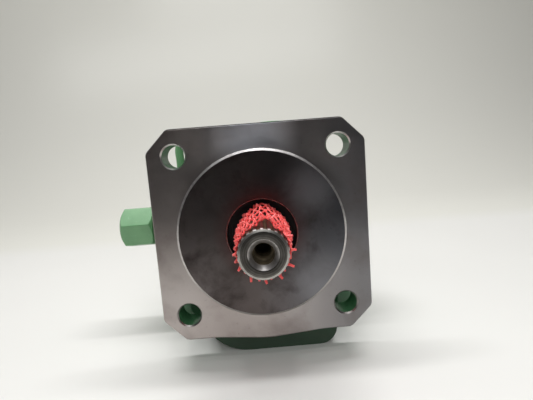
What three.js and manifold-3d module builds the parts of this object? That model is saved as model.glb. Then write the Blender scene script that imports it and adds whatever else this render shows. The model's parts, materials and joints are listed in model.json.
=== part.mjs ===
// External gear motor (hydraulic): square pilot flange, splined output shaft, two meshing gears.
//
// Millimetres. X points right, Y points back from the flange, Z points up.
// The shapes are built around the output shaft: y = 0 is the flange mounting face and the shaft
// runs along Y at x = 0, z = 0. The finished group is then lifted and shifted, so that the part's
// origin lies on the machined base pad, straight below the shaft.

import * as THREE from 'three';
import { mergeVertices } from 'three/addons/utils/BufferGeometryUtils.js';
import Module from 'manifold-3d';

const wasm = await Module();
wasm.setup();

// ---------------------------------------------------------------- driving dimensions

const GAP = 0.3;                    // clearance kept between touching pieces

// mounting flange
const flangeSide = 132;
const flangeChamfer = 13.5;
const flangeThick = 18;
const flangeLugHalf = 34;           // cast lug that bulges below the lower edge
const flangeLugDrop = 3;
const pilotRadius = 50;
const pilotHeight = 7.5;
const pilotChamfer = 0.6;
const boltSpacing = 99;             // square pattern of a 140 mm bolt circle
const boltHoleRadius = 7;
const boltHoleChamfer = 1;
const spotFaceRadius = 13.5;
const spotFaceDepth = 0.5;

// body blocks, front to back
const neckBack = 40;
const neckBlend = 31;               // the neck's foot is narrower in front of this
const neckLeftFootCorner = 32;
const neckRightFootCorner = 12;
const housingFront = neckBack + GAP;
const housingBack = 107.7;
const coverFront = housingBack + GAP;
const coverBack = 130;
const axisHeight = 85;              // output axis above the base pad
const coreHalfWidth = 46;
const coreTop = 44;
const coreTopCorner = 20;
const coreFootCorner = 24;
const bossHalfWidth = 65;
const bossTop = 22;
const bossFoot = -78;
const bossCorner = 9;
const bossFront = 46;
const bossBack = 102;

// gears
const gearModule = 3.75;
const gearTeeth = 12;
const pressureAngle = THREE.MathUtils.degToRad(25);
const toothBacklash = 0.5;
const gearDistance = gearModule * gearTeeth;
const gearMid = (housingFront + housingBack) / 2;
const gearWidth = 30;
const gearTipRadius = gearModule * (gearTeeth / 2 + 1);
const pocketRadius = gearTipRadius + 0.35;
const idlerHeight = -gearDistance;

// shafts and bearings
const shaftRadius = 12.5;
const shaftReach = 47;              // how far the shaft stands out of the pilot face
const shaftTip = -pilotHeight - shaftReach;
const endCollarRadius = 12.4;       // plain collar ahead of the splines
const endCollarLength = 1.7;
const endCollarChamfer = 1.1;
const splineTeeth = 22;
const splineRootRadius = 11.5;
const splineBack = -16;
const splineTipShare = 0.17;        // half widths of a tooth, as shares of the pitch
const splineFootShare = 0.34;
const centreHoleRadius = 5.25;
const centreHoleMouth = 7.5;
const centreHoleDepth = 9;
const threadRadius = 4.25;
const threadDepth = 26;
const journalRadius = 11;
const journalEnd = 106.5;
const bushRadius = 13;
const blockRadius = gearTipRadius + 0.05;

// shaft seal
const sealBoreRadius = 21;
const sealBoreDepth = 14;
const shaftBoreRadius = 13.5;
const circlipFront = 3.2;
const circlipThick = 1.5;

// seals between the castings, and the pressure seals on the bearing blocks
const bodySealInner = 28.8;
const bodySealOuter = 31.2;
const bodySealThick = 1.2;
const grooveDepth = 1.6;
const balanceSealInner = 21;
const balanceSealOuter = 23.6;
const balanceSealThick = 0.9;

// through bolts (M10), seen from the rear
const tieBoltRadius = 5;
const tieHoleRadius = 5.4;
const tieBoltEnd = 22;
const tieWasherRadius = 10;
const tieWasherThick = 2;
const tieBoltHeadFlats = 16;
const tieBoltHeadHeight = 6.4;
const tieBoltPlaces = [[-33, 30], [33, 30], [-31, -70], [31, -70]];

// dowels
const dowelRadius = 4;
const dowelHalfLength = 9.5;
const dowelPlaces = [[-37, -12], [37, -34]];

// ports
const portHeight = -3.5;
const portThreadRadius = 11;
const portThreadDepth = 16;
const portPassageRadius = 8;
const windowHalf = 9;               // the port opens into the mesh through this window
const windowFoot = -32.5;
const windowReach = 44;
const portSealThick = 1.5;
const portSealRadius = 15;
const adapterFlats = 27;
const adapterHexThick = 12;
const adapterStudRadius = 10;
const adapterNeckRadius = 8.5;
const adapterBoreRadius = 6;
const plugFlats = 28;
const plugHexThick = 11;
const capNutFlats = 28;
const capNutOuter = 110;
const capNutInner = 88;
const capNutChamfer = 2;
const capNutTilt = THREE.MathUtils.degToRad(-14.5);   // where the nut stopped when tightened

// drain line
const drainX = 11;
const drainY = 28.6;
const drainBossTop = 46.3;
const drainBossRadius = 10.8;
const drainPassageRadius = 2.5;
const banjoThreadRadius = 6;
const banjoEyeRadius = 10;
const banjoEyeHeight = 10;
const banjoHeadFlats = 19;
const banjoHeadHeight = 7.5;
const banjoWellFoot = 32;           // the banjo bolt's threaded hole starts at this height
const stubRadius = 4.8;
const stubLength = 21;
const drainWasherRadius = 9;
const washerThick = 1.5;
const nippleRadius = 5;
const nippleFoot = 12;
const nippleCollarRadius = 8;
const nippleCollarHeight = 4;
const nippleReach = 10;             // the nipple stands this far above the port boss
const tubeNutFlats = 14;
const tubeNutReach = 7;             // and the nut this far above the nipple
const tubeRadius = 3.1;
const tubeDropX = -57.5;
const tubeDropY = 60;

// plastic net sleeve that guards the splines
const netBack = -1;
const netBackRadius = 18;
const netTipRadius = 14.6;
const netWall = 1.2;

// ---------------------------------------------------------------- materials

function finish(colour, roughness, metalness) {
  return () => new THREE.MeshStandardMaterial({ color: colour, roughness, metalness });
}

const greenPaint = finish(0x3f7d4f, 0.45, 0);
const darkSteel = finish(0x5a5552, 0.35, 0.9);
const brightSteel = finish(0xb8b8ba, 0.28, 1);
const aluminium = finish(0xc3c5c6, 0.4, 1);
const bronze = finish(0xa9793f, 0.4, 1);
const copper = finish(0xb46a45, 0.4, 1);
const blackRubber = finish(0x1c1c1d, 0.8, 0);
const redPlastic = finish(0xe0403c, 0.4, 0);

// ---------------------------------------------------------------- solids

function signedVolume(positions, triangles) {
  const a = new THREE.Vector3();
  const b = new THREE.Vector3();
  const c = new THREE.Vector3();
  let volume = 0;
  for (let i = 0; i < triangles.length; i += 3) {
    a.fromArray(positions, triangles[i] * 3);
    b.fromArray(positions, triangles[i + 1] * 3);
    c.fromArray(positions, triangles[i + 2] * 3);
    volume += a.dot(b.cross(c)) / 6;
  }
  return volume;
}

// A closed three.js geometry as a manifold solid, faces turned outward.
function solid(geometry) {
  const bare = geometry.clone();
  bare.deleteAttribute('normal');
  bare.deleteAttribute('uv');
  const merged = mergeVertices(bare, 1e-4);
  const positions = merged.attributes.position.array;
  const indices = merged.index.array;
  const triangles = [];
  for (let i = 0; i < indices.length; i += 3) {
    const [a, b, c] = [indices[i], indices[i + 1], indices[i + 2]];
    if (a !== b && b !== c && c !== a) {
      triangles.push(a, b, c);
    }
  }
  if (signedVolume(positions, triangles) < 0) {
    triangles.reverse();
  }
  return new wasm.Manifold(new wasm.Mesh({
    numProp: 3,
    vertProperties: Float32Array.from(positions),
    triVerts: Uint32Array.from(triangles),
  }));
}

function unite(solids) {
  return solids.reduce((whole, next) => whole.add(next));
}

function cut(body, tools) {
  return tools.reduce((rest, tool) => rest.subtract(tool), body);
}

// An outline in x and z, run along Y.
function prism(outline, front, back, segments = 3) {
  const settings = { depth: back - front, bevelEnabled: false, curveSegments: segments };
  const geometry = new THREE.ExtrudeGeometry(outline, settings);
  geometry.rotateX(Math.PI / 2);
  geometry.translate(0, back, 0);
  return solid(geometry);
}

// A profile of [radius, y] pairs turned about the shaft axis, or about a parallel one.
function turned(profile, segments = 32, x = 0, z = 0) {
  const points = profile.map(([radius, y]) => new THREE.Vector2(radius, y));
  const geometry = new THREE.LatheGeometry(points, segments);
  geometry.translate(x, 0, z);
  return solid(geometry);
}

function ringProfile(inner, outer, front, back) {
  return [[inner, front], [outer, front], [outer, back], [inner, back], [inner, front]];
}

function rod(radius, front, back, x, z, segments = 24) {
  const geometry = new THREE.CylinderGeometry(radius, radius, back - front, segments);
  geometry.translate(x, (front + back) / 2, z);
  return solid(geometry);
}

// The same kind of profile, with distances along X instead of Y. Negative distances point left.
function turnedAlongX(profile, y, z, segments = 24) {
  const points = profile.map(([radius, along]) => new THREE.Vector2(radius, along));
  const geometry = new THREE.LatheGeometry(points, segments);
  geometry.rotateZ(-Math.PI / 2);
  geometry.translate(0, y, z);
  return solid(geometry);
}

function turnedAlongZ(profile, x, y, segments = 16) {
  const points = profile.map(([radius, along]) => new THREE.Vector2(radius, along));
  const geometry = new THREE.LatheGeometry(points, segments);
  geometry.rotateX(Math.PI / 2);
  geometry.translate(x, y, 0);
  return solid(geometry);
}

function drillAlongZ(radius, foot, top, x, y, segments = 16) {
  return turnedAlongZ([[0, foot], [radius, foot], [radius, top], [0, top]], x, y, segments);
}

function drillAlongX(radius, from, to, y, z, segments = 16) {
  return turnedAlongX([[0, from], [radius, from], [radius, to], [0, to]], y, z, segments);
}

function block(xs, ys, zs) {
  const geometry = new THREE.BoxGeometry(xs[1] - xs[0], ys[1] - ys[0], zs[1] - zs[0]);
  geometry.translate((xs[0] + xs[1]) / 2, (ys[0] + ys[1]) / 2, (zs[0] + zs[1]) / 2);
  return solid(geometry);
}

// A cone-ended turned blank intersected with this prism gives a nut or bolt head.
function hexOutline(flats) {
  const outline = new THREE.Shape();
  const corner = flats / Math.sqrt(3);
  for (let i = 0; i < 6; i += 1) {
    const angle = i * Math.PI / 3;
    const x = corner * Math.cos(angle);
    const y = corner * Math.sin(angle);
    if (i === 0) {
      outline.moveTo(x, y);
    } else {
      outline.lineTo(x, y);
    }
  }
  outline.closePath();
  return outline;
}

function hexAlongX(flats, from, to, y, z, tilt = 0) {
  const settings = { depth: to - from, bevelEnabled: false };
  const geometry = new THREE.ExtrudeGeometry(hexOutline(flats), settings);
  geometry.rotateY(Math.PI / 2);
  geometry.rotateX(Math.PI / 2 + tilt);
  geometry.translate(from, y, z);
  return solid(geometry);
}

function hexAlongY(flats, from, to, x, z) {
  return prism(hexOutline(flats), from, to).translate([x, 0, z]);
}

function hexAlongZ(flats, from, to, x, y) {
  const settings = { depth: to - from, bevelEnabled: false };
  const geometry = new THREE.ExtrudeGeometry(hexOutline(flats), settings);
  geometry.translate(x, y, from);
  return solid(geometry);
}

// ---------------------------------------------------------------- outlines

// A rectangle from xs[0] to xs[1] and zs[0] to zs[1], rounded by footRadius below and topRadius above.
// The lower left corner may have a radius of its own.
function roundedBox(xs, zs, footRadius, topRadius, leftFootRadius = footRadius) {
  const [left, right] = xs;
  const [foot, top] = zs;
  const quarter = Math.PI / 2;
  const outline = new THREE.Shape();
  outline.moveTo(left + leftFootRadius, foot);
  outline.lineTo(right - footRadius, foot);
  outline.absarc(right - footRadius, foot + footRadius, footRadius, -quarter, 0);
  outline.lineTo(right, top - topRadius);
  outline.absarc(right - topRadius, top - topRadius, topRadius, 0, quarter);
  outline.lineTo(left + topRadius, top);
  outline.absarc(left + topRadius, top - topRadius, topRadius, quarter, 2 * quarter);
  outline.lineTo(left, foot + leftFootRadius);
  outline.absarc(left + leftFootRadius, foot + leftFootRadius, leftFootRadius, 2 * quarter, 3 * quarter);
  outline.closePath();
  return outline;
}

function coreOutline() {
  const zs = [-axisHeight, coreTop];
  return roundedBox([-coreHalfWidth, coreHalfWidth], zs, coreFootCorner, coreTopCorner);
}

function neckOutline() {
  const zs = [-axisHeight, coreTop];
  const xs = [-coreHalfWidth, coreHalfWidth];
  return roundedBox(xs, zs, neckRightFootCorner, coreTopCorner, neckLeftFootCorner);
}

// Two circles of one radius, on the drive axis and the idler axis, joined by straight sides.
function stadium(radius) {
  return roundedBox([-radius, radius], [idlerHeight - radius, radius], radius, radius);
}

function flangeOutline() {
  const half = flangeSide / 2;
  const inner = half - flangeChamfer;
  const outline = new THREE.Shape();
  outline.moveTo(-inner, -half);
  outline.lineTo(-flangeLugHalf, -half);
  outline.lineTo(0, -half - flangeLugDrop);
  outline.lineTo(flangeLugHalf, -half);
  outline.lineTo(inner, -half);
  outline.lineTo(half, -inner);
  outline.lineTo(half, inner);
  outline.lineTo(inner, half);
  outline.lineTo(-inner, half);
  outline.lineTo(-half, inner);
  outline.lineTo(-half, -inner);
  outline.closePath();
  return outline;
}

// Involute gear outline with a tooth centred on the angle firstTooth.
function gearOutline(firstTooth) {
  const pitchRadius = gearDistance / 2;
  const baseRadius = pitchRadius * Math.cos(pressureAngle);
  const rootRadius = pitchRadius - 1.2 * gearModule;
  const halfTooth = (Math.PI * gearModule / 2 - toothBacklash) / (2 * pitchRadius);
  const involute = (angle) => Math.tan(angle) - angle;
  const flankSteps = 3;
  const flank = [[rootRadius, halfTooth + involute(pressureAngle)]];
  for (let i = 0; i <= flankSteps; i += 1) {
    const radius = baseRadius + (gearTipRadius - baseRadius) * i / flankSteps;
    const roll = Math.acos(Math.min(1, baseRadius / radius));
    flank.push([radius, halfTooth + involute(pressureAngle) - involute(roll)]);
  }
  const points = [];
  for (let tooth = 0; tooth < gearTeeth; tooth += 1) {
    const centre = firstTooth + tooth * 2 * Math.PI / gearTeeth;
    const rising = flank.map(([radius, offset]) => [radius, centre - offset]);
    const falling = flank.map(([radius, offset]) => [radius, centre + offset]).reverse();
    for (const [radius, angle] of [...rising, ...falling]) {
      points.push(new THREE.Vector2(radius * Math.cos(angle), radius * Math.sin(angle)));
    }
  }
  return new THREE.Shape(points);
}

function splineOutline() {
  const points = [];
  const step = 2 * Math.PI / splineTeeth;
  const corners = [
    [splineRootRadius, -splineFootShare], [shaftRadius, -splineTipShare],
    [shaftRadius, splineTipShare], [splineRootRadius, splineFootShare],
  ];
  for (let tooth = 0; tooth < splineTeeth; tooth += 1) {
    for (const [radius, share] of corners) {
      const angle = (tooth + share) * step + Math.PI / 2;
      points.push(new THREE.Vector2(radius * Math.cos(angle), radius * Math.sin(angle)));
    }
  }
  return new THREE.Shape(points);
}

// ---------------------------------------------------------------- assembly

const motor = new THREE.Group();
motor.position.set(0, -gearMid, axisHeight);

function addPiece(name, shape, material) {
  const mesh = shape.getMesh();
  const geometry = new THREE.BufferGeometry();
  geometry.setAttribute('position', new THREE.BufferAttribute(Float32Array.from(mesh.vertProperties), 3));
  geometry.setIndex(new THREE.BufferAttribute(Uint32Array.from(mesh.triVerts), 1));
  geometry.computeVertexNormals();
  const piece = new THREE.Mesh(geometry, material());
  piece.name = name;
  motor.add(piece);
}

// The front casting: flange plate, pilot, neck and drain boss in one piece.
function frontFlange() {
  const pilot = turned([
    [0, -pilotHeight], [pilotRadius - pilotChamfer, -pilotHeight],
    [pilotRadius, -pilotHeight + pilotChamfer], [pilotRadius, 1], [0, 1],
  ], 56);
  const drainBoss = drillAlongZ(drainBossRadius, coreTop - spotFaceRadius, drainBossTop, drainX, drainY);
  const casting = unite([
    prism(flangeOutline(), 0, flangeThick),
    pilot,
    prism(neckOutline(), flangeThick - 1, neckBlend),
    prism(coreOutline(), neckBlend - 1, neckBack),
    drainBoss,
  ]);
  const tools = [
    rod(sealBoreRadius, -pilotHeight - 1, sealBoreDepth, 0, 0, 32),
    turned(ringProfile(sealBoreRadius - 1, sealBoreRadius + 1.3, circlipFront - 0.2,
      circlipFront + circlipThick + 0.2), 32),
    rod(shaftBoreRadius, 0, neckBack + 1, 0, 0, 24),
    drillAlongZ(drainPassageRadius, shaftBoreRadius / 2, banjoWellFoot + 2, drainX, drainY),
    drillAlongZ(banjoThreadRadius + GAP, banjoWellFoot, drainBossTop + 1, drainX, drainY),
    sealGroove(neckBack - grooveDepth, neckBack + 1),
  ];
  for (const side of [-1, 1]) {
    for (const level of [-1, 1]) {
      const x = side * boltSpacing / 2;
      const z = level * boltSpacing / 2;
      tools.push(turned([
        [0, -1], [boltHoleRadius + boltHoleChamfer + 1, -1], [boltHoleRadius, boltHoleChamfer],
        [boltHoleRadius, flangeThick + 1], [0, flangeThick + 1],
      ], 20, x, z));
      tools.push(rod(spotFaceRadius, flangeThick - spotFaceDepth, neckBack + 1, x, z, 20));
    }
  }
  for (const [x, z] of tieBoltPlaces) {
    tools.push(rod(tieHoleRadius, tieBoltEnd - 2, neckBack + 1, x, z, 12));
  }
  for (const [x, z] of dowelPlaces) {
    tools.push(rod(dowelRadius + GAP, neckBack - dowelHalfLength - GAP, neckBack + 1, x, z, 12));
  }
  addPiece('front_flange', cut(casting, tools), greenPaint);
}

// A closed band between two stadium outlines.
function loopPrism(inner, outer, front, back) {
  return cut(prism(stadium(outer), front, back), [prism(stadium(inner), front - 1, back + 1)]);
}

function sealGroove(front, back) {
  return loopPrism(bodySealInner - GAP, bodySealOuter + GAP, front, back);
}

// The middle casting: gear pockets, two port bosses and the base pad.
function gearHousing() {
  const zs = [bossFoot, bossTop];
  const bossOutline = roundedBox([-bossHalfWidth, bossHalfWidth], zs, bossCorner, bossCorner);
  const bosses = prism(bossOutline, bossFront, bossBack);
  const casting = unite([prism(coreOutline(), housingFront, housingBack), bosses]);
  const tools = [
    rod(pocketRadius, housingFront - 1, housingBack + 1, 0, 0, 40),
    rod(pocketRadius, housingFront - 1, housingBack + 1, 0, idlerHeight, 40),
  ];
  for (const side of [-1, 1]) {
    const bore = [[0, 40], [portPassageRadius, 40], [portPassageRadius, bossHalfWidth - portThreadDepth],
      [portThreadRadius + GAP, bossHalfWidth - portThreadDepth], [portThreadRadius + GAP, bossHalfWidth + 1],
      [0, bossHalfWidth + 1]];
    tools.push(turnedAlongX(bore.map(([radius, along]) => [radius, side * along]), gearMid, portHeight));
    const window = roundedBox([-windowHalf, windowHalf], [windowFoot, portHeight + windowHalf], 8, 8);
    const depth = 24;
    const geometry = new THREE.ExtrudeGeometry(window, { depth, bevelEnabled: false, curveSegments: 3 });
    geometry.rotateX(Math.PI / 2);
    geometry.rotateZ(Math.PI / 2);
    geometry.translate(side > 0 ? windowReach - depth : -windowReach, gearMid, 0);
    tools.push(solid(geometry));
  }
  for (const [x, z] of tieBoltPlaces) {
    tools.push(rod(tieHoleRadius, housingFront - 1, housingBack + 1, x, z, 12));
  }
  for (const [x, z] of dowelPlaces) {
    tools.push(rod(dowelRadius + GAP, housingFront - 1, neckBack + dowelHalfLength + GAP, x, z, 12));
    tools.push(rod(dowelRadius + GAP, housingBack - dowelHalfLength - GAP, housingBack + 1, x, z, 12));
  }
  tools.push(drillAlongZ(nippleRadius + GAP, nippleFoot - 3, bossTop + 1, tubeDropX, tubeDropY));
  addPiece('gear_housing', cut(casting, tools), greenPaint);
}

function rearCover() {
  const inset = 5;
  const zs = [-axisHeight + inset, coreTop - inset];
  const xs = [-coreHalfWidth + inset, coreHalfWidth - inset];
  const step = 17;
  const innerOutline = roundedBox(xs, zs, coreFootCorner - inset, coreTopCorner - inset);
  const casting = unite([
    prism(coreOutline(), coverFront, coverFront + step),
    prism(innerOutline, coverFront + step - 1, coverBack),
  ]);
  const tools = [sealGroove(coverFront - 1, coverFront + grooveDepth)];
  for (const [x, z] of tieBoltPlaces) {
    tools.push(rod(tieHoleRadius, coverFront - 1, coverBack + 1, x, z, 12));
  }
  for (const [x, z] of dowelPlaces) {
    tools.push(rod(dowelRadius + GAP, coverFront - 1, coverFront + dowelHalfLength + GAP, x, z, 12));
  }
  addPiece('rear_cover', cut(casting, tools), greenPaint);
}

function tieBolts() {
  tieBoltPlaces.forEach(([x, z], index) => {
    const washerFront = coverBack + GAP;
    const headFront = washerFront + tieWasherThick + GAP;
    const headBack = headFront + tieBoltHeadHeight;
    const corner = tieBoltHeadFlats / Math.sqrt(3);
    const crown = turned([[0, headFront], [corner + 1, headFront], [corner + 1, headBack - 2],
      [corner - 2, headBack], [0, headBack]], 18, x, z);
    const head = hexAlongY(tieBoltHeadFlats, headFront, headBack, x, z).intersect(crown);
    const shank = turned([[0, tieBoltEnd], [tieBoltRadius - 1, tieBoltEnd], [tieBoltRadius, tieBoltEnd + 1],
      [tieBoltRadius, headFront + 1], [0, headFront + 1]], 12, x, z);
    addPiece(`through_bolt_${index + 1}`, head.add(shank), greenPaint);
    const washerBack = washerFront + tieWasherThick;
    const washer = turned(ringProfile(tieHoleRadius, tieWasherRadius, washerFront, washerBack), 16, x, z);
    addPiece(`bolt_washer_${index + 1}`, washer, greenPaint);
  });
}

function dowelPins() {
  const joints = [neckBack + GAP / 2, housingBack + GAP / 2];
  let number = 1;
  for (const y of joints) {
    for (const [x, z] of dowelPlaces) {
      const [front, back] = [y - dowelHalfLength + GAP, y + dowelHalfLength - GAP];
      const pin = turned([[0, front], [dowelRadius - 0.8, front], [dowelRadius, front + 0.8],
        [dowelRadius, back - 0.8], [dowelRadius - 0.8, back], [0, back]], 12, x, z);
      addPiece(`dowel_pin_${number}`, pin, brightSteel);
      number += 1;
    }
  }
}

// Bearing blocks float between the gears and the covers. Each carries two bushes and a balance seal.
function bearingBlocks() {
  const gearFront = gearMid - gearWidth / 2;
  const gearBack = gearMid + gearWidth / 2;
  const places = [
    ['front', housingFront + GAP, gearFront - GAP, housingFront + GAP],
    ['rear', gearBack + GAP, housingBack - GAP, housingBack - GAP - 1.5],
  ];
  for (const [name, front, back, grooveFront] of places) {
    const lobes = [0, idlerHeight].map((z) => rod(blockRadius, front, back, 0, z, 36));
    const bores = [0, idlerHeight].map((z) => rod(bushRadius + GAP, front - 1, back + 1, 0, z, 18));
    const grooveBack = name === 'front' ? grooveFront + 1.5 : grooveFront + 2.5;
    const grooveStart = name === 'front' ? grooveFront - 1 : grooveFront;
    const groove = balanceLoop(GAP, grooveStart, grooveBack);
    addPiece(`${name}_bearing_block`, cut(unite(lobes), [...bores, groove]), aluminium);
    const sealFront = grooveFront + GAP;
    addPiece(`${name}_balance_seal`, balanceLoop(0, sealFront, sealFront + balanceSealThick), blackRubber);
    ['drive', 'idler'].forEach((gear, index) => {
      const bush = turned(ringProfile(journalRadius + GAP, bushRadius, front + GAP, back - GAP), 18, 0,
        index * idlerHeight);
      addPiece(`${name}_bush_${gear}`, bush, bronze);
    });
  }
}

// The pressure side of a bearing block is fenced off by a seal shaped like a 3.
function balanceLoop(grow, front, back) {
  const profile = ringProfile(balanceSealInner - grow, balanceSealOuter + grow, front, back);
  const rings = [0, idlerHeight].map((z) => turned(profile, 24, 0, z));
  const openSide = block([-40, -8 - grow], [front - 1, back + 1], [-90, 40]);
  return cut(unite(rings), [openSide]);
}

function bodySeals() {
  const proud = 0.1;
  const frontEnd = neckBack - proud;
  const rearStart = coverFront + proud;
  const frontLoop = loopPrism(bodySealInner, bodySealOuter, frontEnd - bodySealThick, frontEnd);
  const rearLoop = loopPrism(bodySealInner, bodySealOuter, rearStart, rearStart + bodySealThick);
  addPiece('front_body_seal', frontLoop, blackRubber);
  addPiece('rear_body_seal', rearLoop, blackRubber);
}

function shaftSeal() {
  const [front, back] = [6, 13.5];
  const outer = sealBoreRadius - GAP;
  const profile = [[shaftRadius + GAP, front + 3], [shaftRadius + 2.5, front], [outer, front], [outer, back],
    [outer - 2.2, back], [outer - 2.2, front + 2.2], [shaftRadius + 2.6, front + 2.2],
    [shaftRadius + 1.6, front + 5], [shaftRadius + GAP, front + 3]];
  addPiece('shaft_seal', turned(profile, 28), blackRubber);
  const ring = turned(ringProfile(sealBoreRadius - 2.6, sealBoreRadius + 1, circlipFront,
    circlipFront + circlipThick), 32);
  const mouth = block([-4, 4], [circlipFront - 1, circlipFront + circlipThick + 1], [-30, 0]);
  const ears = [-6.2, 6.2].map((x) => cut(
    rod(2.6, circlipFront, circlipFront + circlipThick, x, -sealBoreRadius + 3.6, 14),
    [rod(1.1, circlipFront - 1, circlipFront + circlipThick + 1, x, -sealBoreRadius + 3.6, 8)],
  ));
  addPiece('seal_circlip', unite([cut(ring, [mouth]), ...ears]), brightSteel);
}

// The output shaft: splines, seal journal, drive gear and two bearing journals in one piece.
function driveShaft() {
  const gear = prism(gearOutline(-Math.PI / 2), gearMid - gearWidth / 2, gearMid + gearWidth / 2);
  const collarEnd = shaftTip + endCollarLength;
  const collar = turned([
    [0, shaftTip], [endCollarRadius - endCollarChamfer, shaftTip],
    [endCollarRadius, shaftTip + endCollarChamfer], [endCollarRadius, collarEnd], [0, collarEnd],
  ], 44);
  const clear = shaftRadius + 0.1;
  const taper = turned([[0, collarEnd - 0.4], [endCollarRadius, collarEnd - 0.4], [clear, collarEnd + 0.1],
    [clear, splineBack + 1], [0, splineBack + 1]], 44);
  const splines = prism(splineOutline(), collarEnd - 0.4, splineBack + 1).intersect(taper);
  const body = turned([
    [0, splineBack], [shaftRadius - 0.6, splineBack], [shaftRadius, splineBack + 0.6],
    [shaftRadius, neckBack - 3], [journalRadius, neckBack - 2], [journalRadius, journalEnd - 1],
    [journalRadius - 1, journalEnd], [0, journalEnd],
  ], 28);
  const centreHole = turned([
    [0, shaftTip - 1], [centreHoleMouth + 0.6, shaftTip - 1], [centreHoleRadius, shaftTip + 3],
    [centreHoleRadius, shaftTip + centreHoleDepth], [threadRadius, shaftTip + centreHoleDepth + 0.6],
    [threadRadius, shaftTip + threadDepth], [0, shaftTip + threadDepth + 2.4],
  ], 18);
  addPiece('drive_gear_shaft', cut(unite([gear, collar, splines, body]), [centreHole]), darkSteel);
}

function idlerShaft() {
  const toothStep = 2 * Math.PI / gearTeeth;
  const outline = gearOutline(Math.PI / 2 + toothStep / 2);
  const gear = prism(outline, gearMid - gearWidth / 2, gearMid + gearWidth / 2);
  const [front, back] = [housingFront + 1.5, journalEnd];
  const body = turned([[0, front], [journalRadius - 1, front], [journalRadius, front + 1],
    [journalRadius, back - 1], [journalRadius - 1, back], [0, back]], 28);
  addPiece('idler_gear_shaft', gear.add(body).translate([0, 0, idlerHeight]), brightSteel);
}

// Left port: sealing ring, threaded adapter and the blanking nut that closes it.
function leftPort() {
  const face = -bossHalfWidth;
  const ring = ringProfile(portThreadRadius + GAP, portSealRadius, face - GAP - portSealThick, face - GAP);
  addPiece('left_port_seal', turnedAlongX(ring, gearMid, portHeight), copper);
  const hexInner = face - 2 * GAP - portSealThick;
  const hexOuter = hexInner - adapterHexThick;
  const studEnd = -capNutOuter + 9;
  const crown = turnedAlongX([
    [0, hexOuter], [13, hexOuter], [16.5, hexOuter + 2], [16.5, hexInner - 2], [13, hexInner], [0, hexInner],
  ], gearMid, portHeight);
  const hex = hexAlongX(adapterFlats, hexOuter, hexInner, gearMid, portHeight).intersect(crown);
  const stud = turnedAlongX([
    [0, studEnd], [adapterStudRadius - 1, studEnd], [adapterStudRadius, studEnd + 1],
    [adapterStudRadius, hexOuter - 3], [adapterNeckRadius, hexOuter - 2], [adapterNeckRadius, hexOuter + 1],
    [adapterStudRadius, hexOuter + 1], [adapterStudRadius, hexInner + 1], [portThreadRadius - 1.5, hexInner + 1],
    [portThreadRadius - 1.5, hexInner + 3], [portThreadRadius, hexInner + 4], [portThreadRadius, face + 13],
    [portThreadRadius - 1, face + 14], [0, face + 14],
  ], gearMid, portHeight);
  const passage = drillAlongX(adapterBoreRadius, studEnd - 1, face + 15, gearMid, portHeight);
  addPiece('left_port_adapter', cut(hex.add(stud), [passage]), greenPaint);

  const [outer, inner] = [-capNutOuter, -capNutInner];
  const corner = capNutFlats / Math.sqrt(3) + 0.2;
  const flat = corner - capNutChamfer;
  const ends = turnedAlongX([
    [0, outer], [flat, outer], [corner, outer + capNutChamfer], [corner, inner - capNutChamfer],
    [flat, inner], [0, inner],
  ], gearMid, portHeight, 36);
  const wellRadius = adapterStudRadius + GAP;
  const well = turnedAlongX([
    [0, studEnd - 1], [wellRadius - 1, studEnd - 1], [wellRadius, studEnd + 1], [wellRadius, inner + 1],
    [0, inner + 1],
  ], gearMid, portHeight);
  const hexagon = hexAlongX(capNutFlats, outer, inner, gearMid, portHeight, capNutTilt);
  const nut = hexagon.intersect(ends);
  addPiece('left_cap_nut', cut(nut, [well]), greenPaint);
}

// Right port: sealing ring and plug.
function rightPort() {
  const face = bossHalfWidth;
  const ring = ringProfile(portThreadRadius + GAP, portSealRadius, face + GAP, face + GAP + portSealThick);
  addPiece('right_port_seal', turnedAlongX(ring, gearMid, portHeight), copper);
  const inner = face + 2 * GAP + portSealThick;
  const outer = inner + plugHexThick;
  const crown = turnedAlongX([
    [0, inner], [14, inner], [17, inner + 2], [17, outer - 2], [14, outer], [0, outer],
  ], gearMid, portHeight);
  const hex = hexAlongX(plugFlats, inner, outer, gearMid, portHeight).intersect(crown);
  const stud = turnedAlongX([
    [0, face - 14], [portThreadRadius - 1, face - 14], [portThreadRadius, face - 13],
    [portThreadRadius, inner + 1], [0, inner + 1],
  ], gearMid, portHeight);
  addPiece('right_port_plug', hex.add(stud), greenPaint);
}

// Drain line: a banjo on the front casting, a bent tube, and a screwed joint on the left port boss.
function drainLine() {
  const lowerWasher = drainBossTop + GAP;
  const eyeFoot = lowerWasher + washerThick + GAP;
  const eyeTop = eyeFoot + banjoEyeHeight;
  const upperWasher = eyeTop + GAP;
  const headFoot = upperWasher + washerThick + GAP;
  const washer = (foot) => turnedAlongZ(
    ringProfile(banjoThreadRadius + GAP, drainWasherRadius, foot, foot + washerThick), drainX, drainY);
  addPiece('drain_washer_lower', washer(lowerWasher), copper);
  addPiece('drain_washer_upper', washer(upperWasher), copper);
  banjoBolt(headFoot, eyeTop);

  const heading = new THREE.Vector3(-0.8, 0.6, 0);
  const eyeCentre = new THREE.Vector3(drainX, drainY, (eyeFoot + eyeTop) / 2);
  banjoEye(eyeFoot, eyeTop, eyeCentre, heading);
  const nippleTop = bossTop + nippleReach;
  tubeJoint(nippleTop);
  const start = eyeCentre.clone().addScaledVector(heading, stubLength + GAP);
  drainTube(start, heading, nippleTop + GAP);
}

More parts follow.
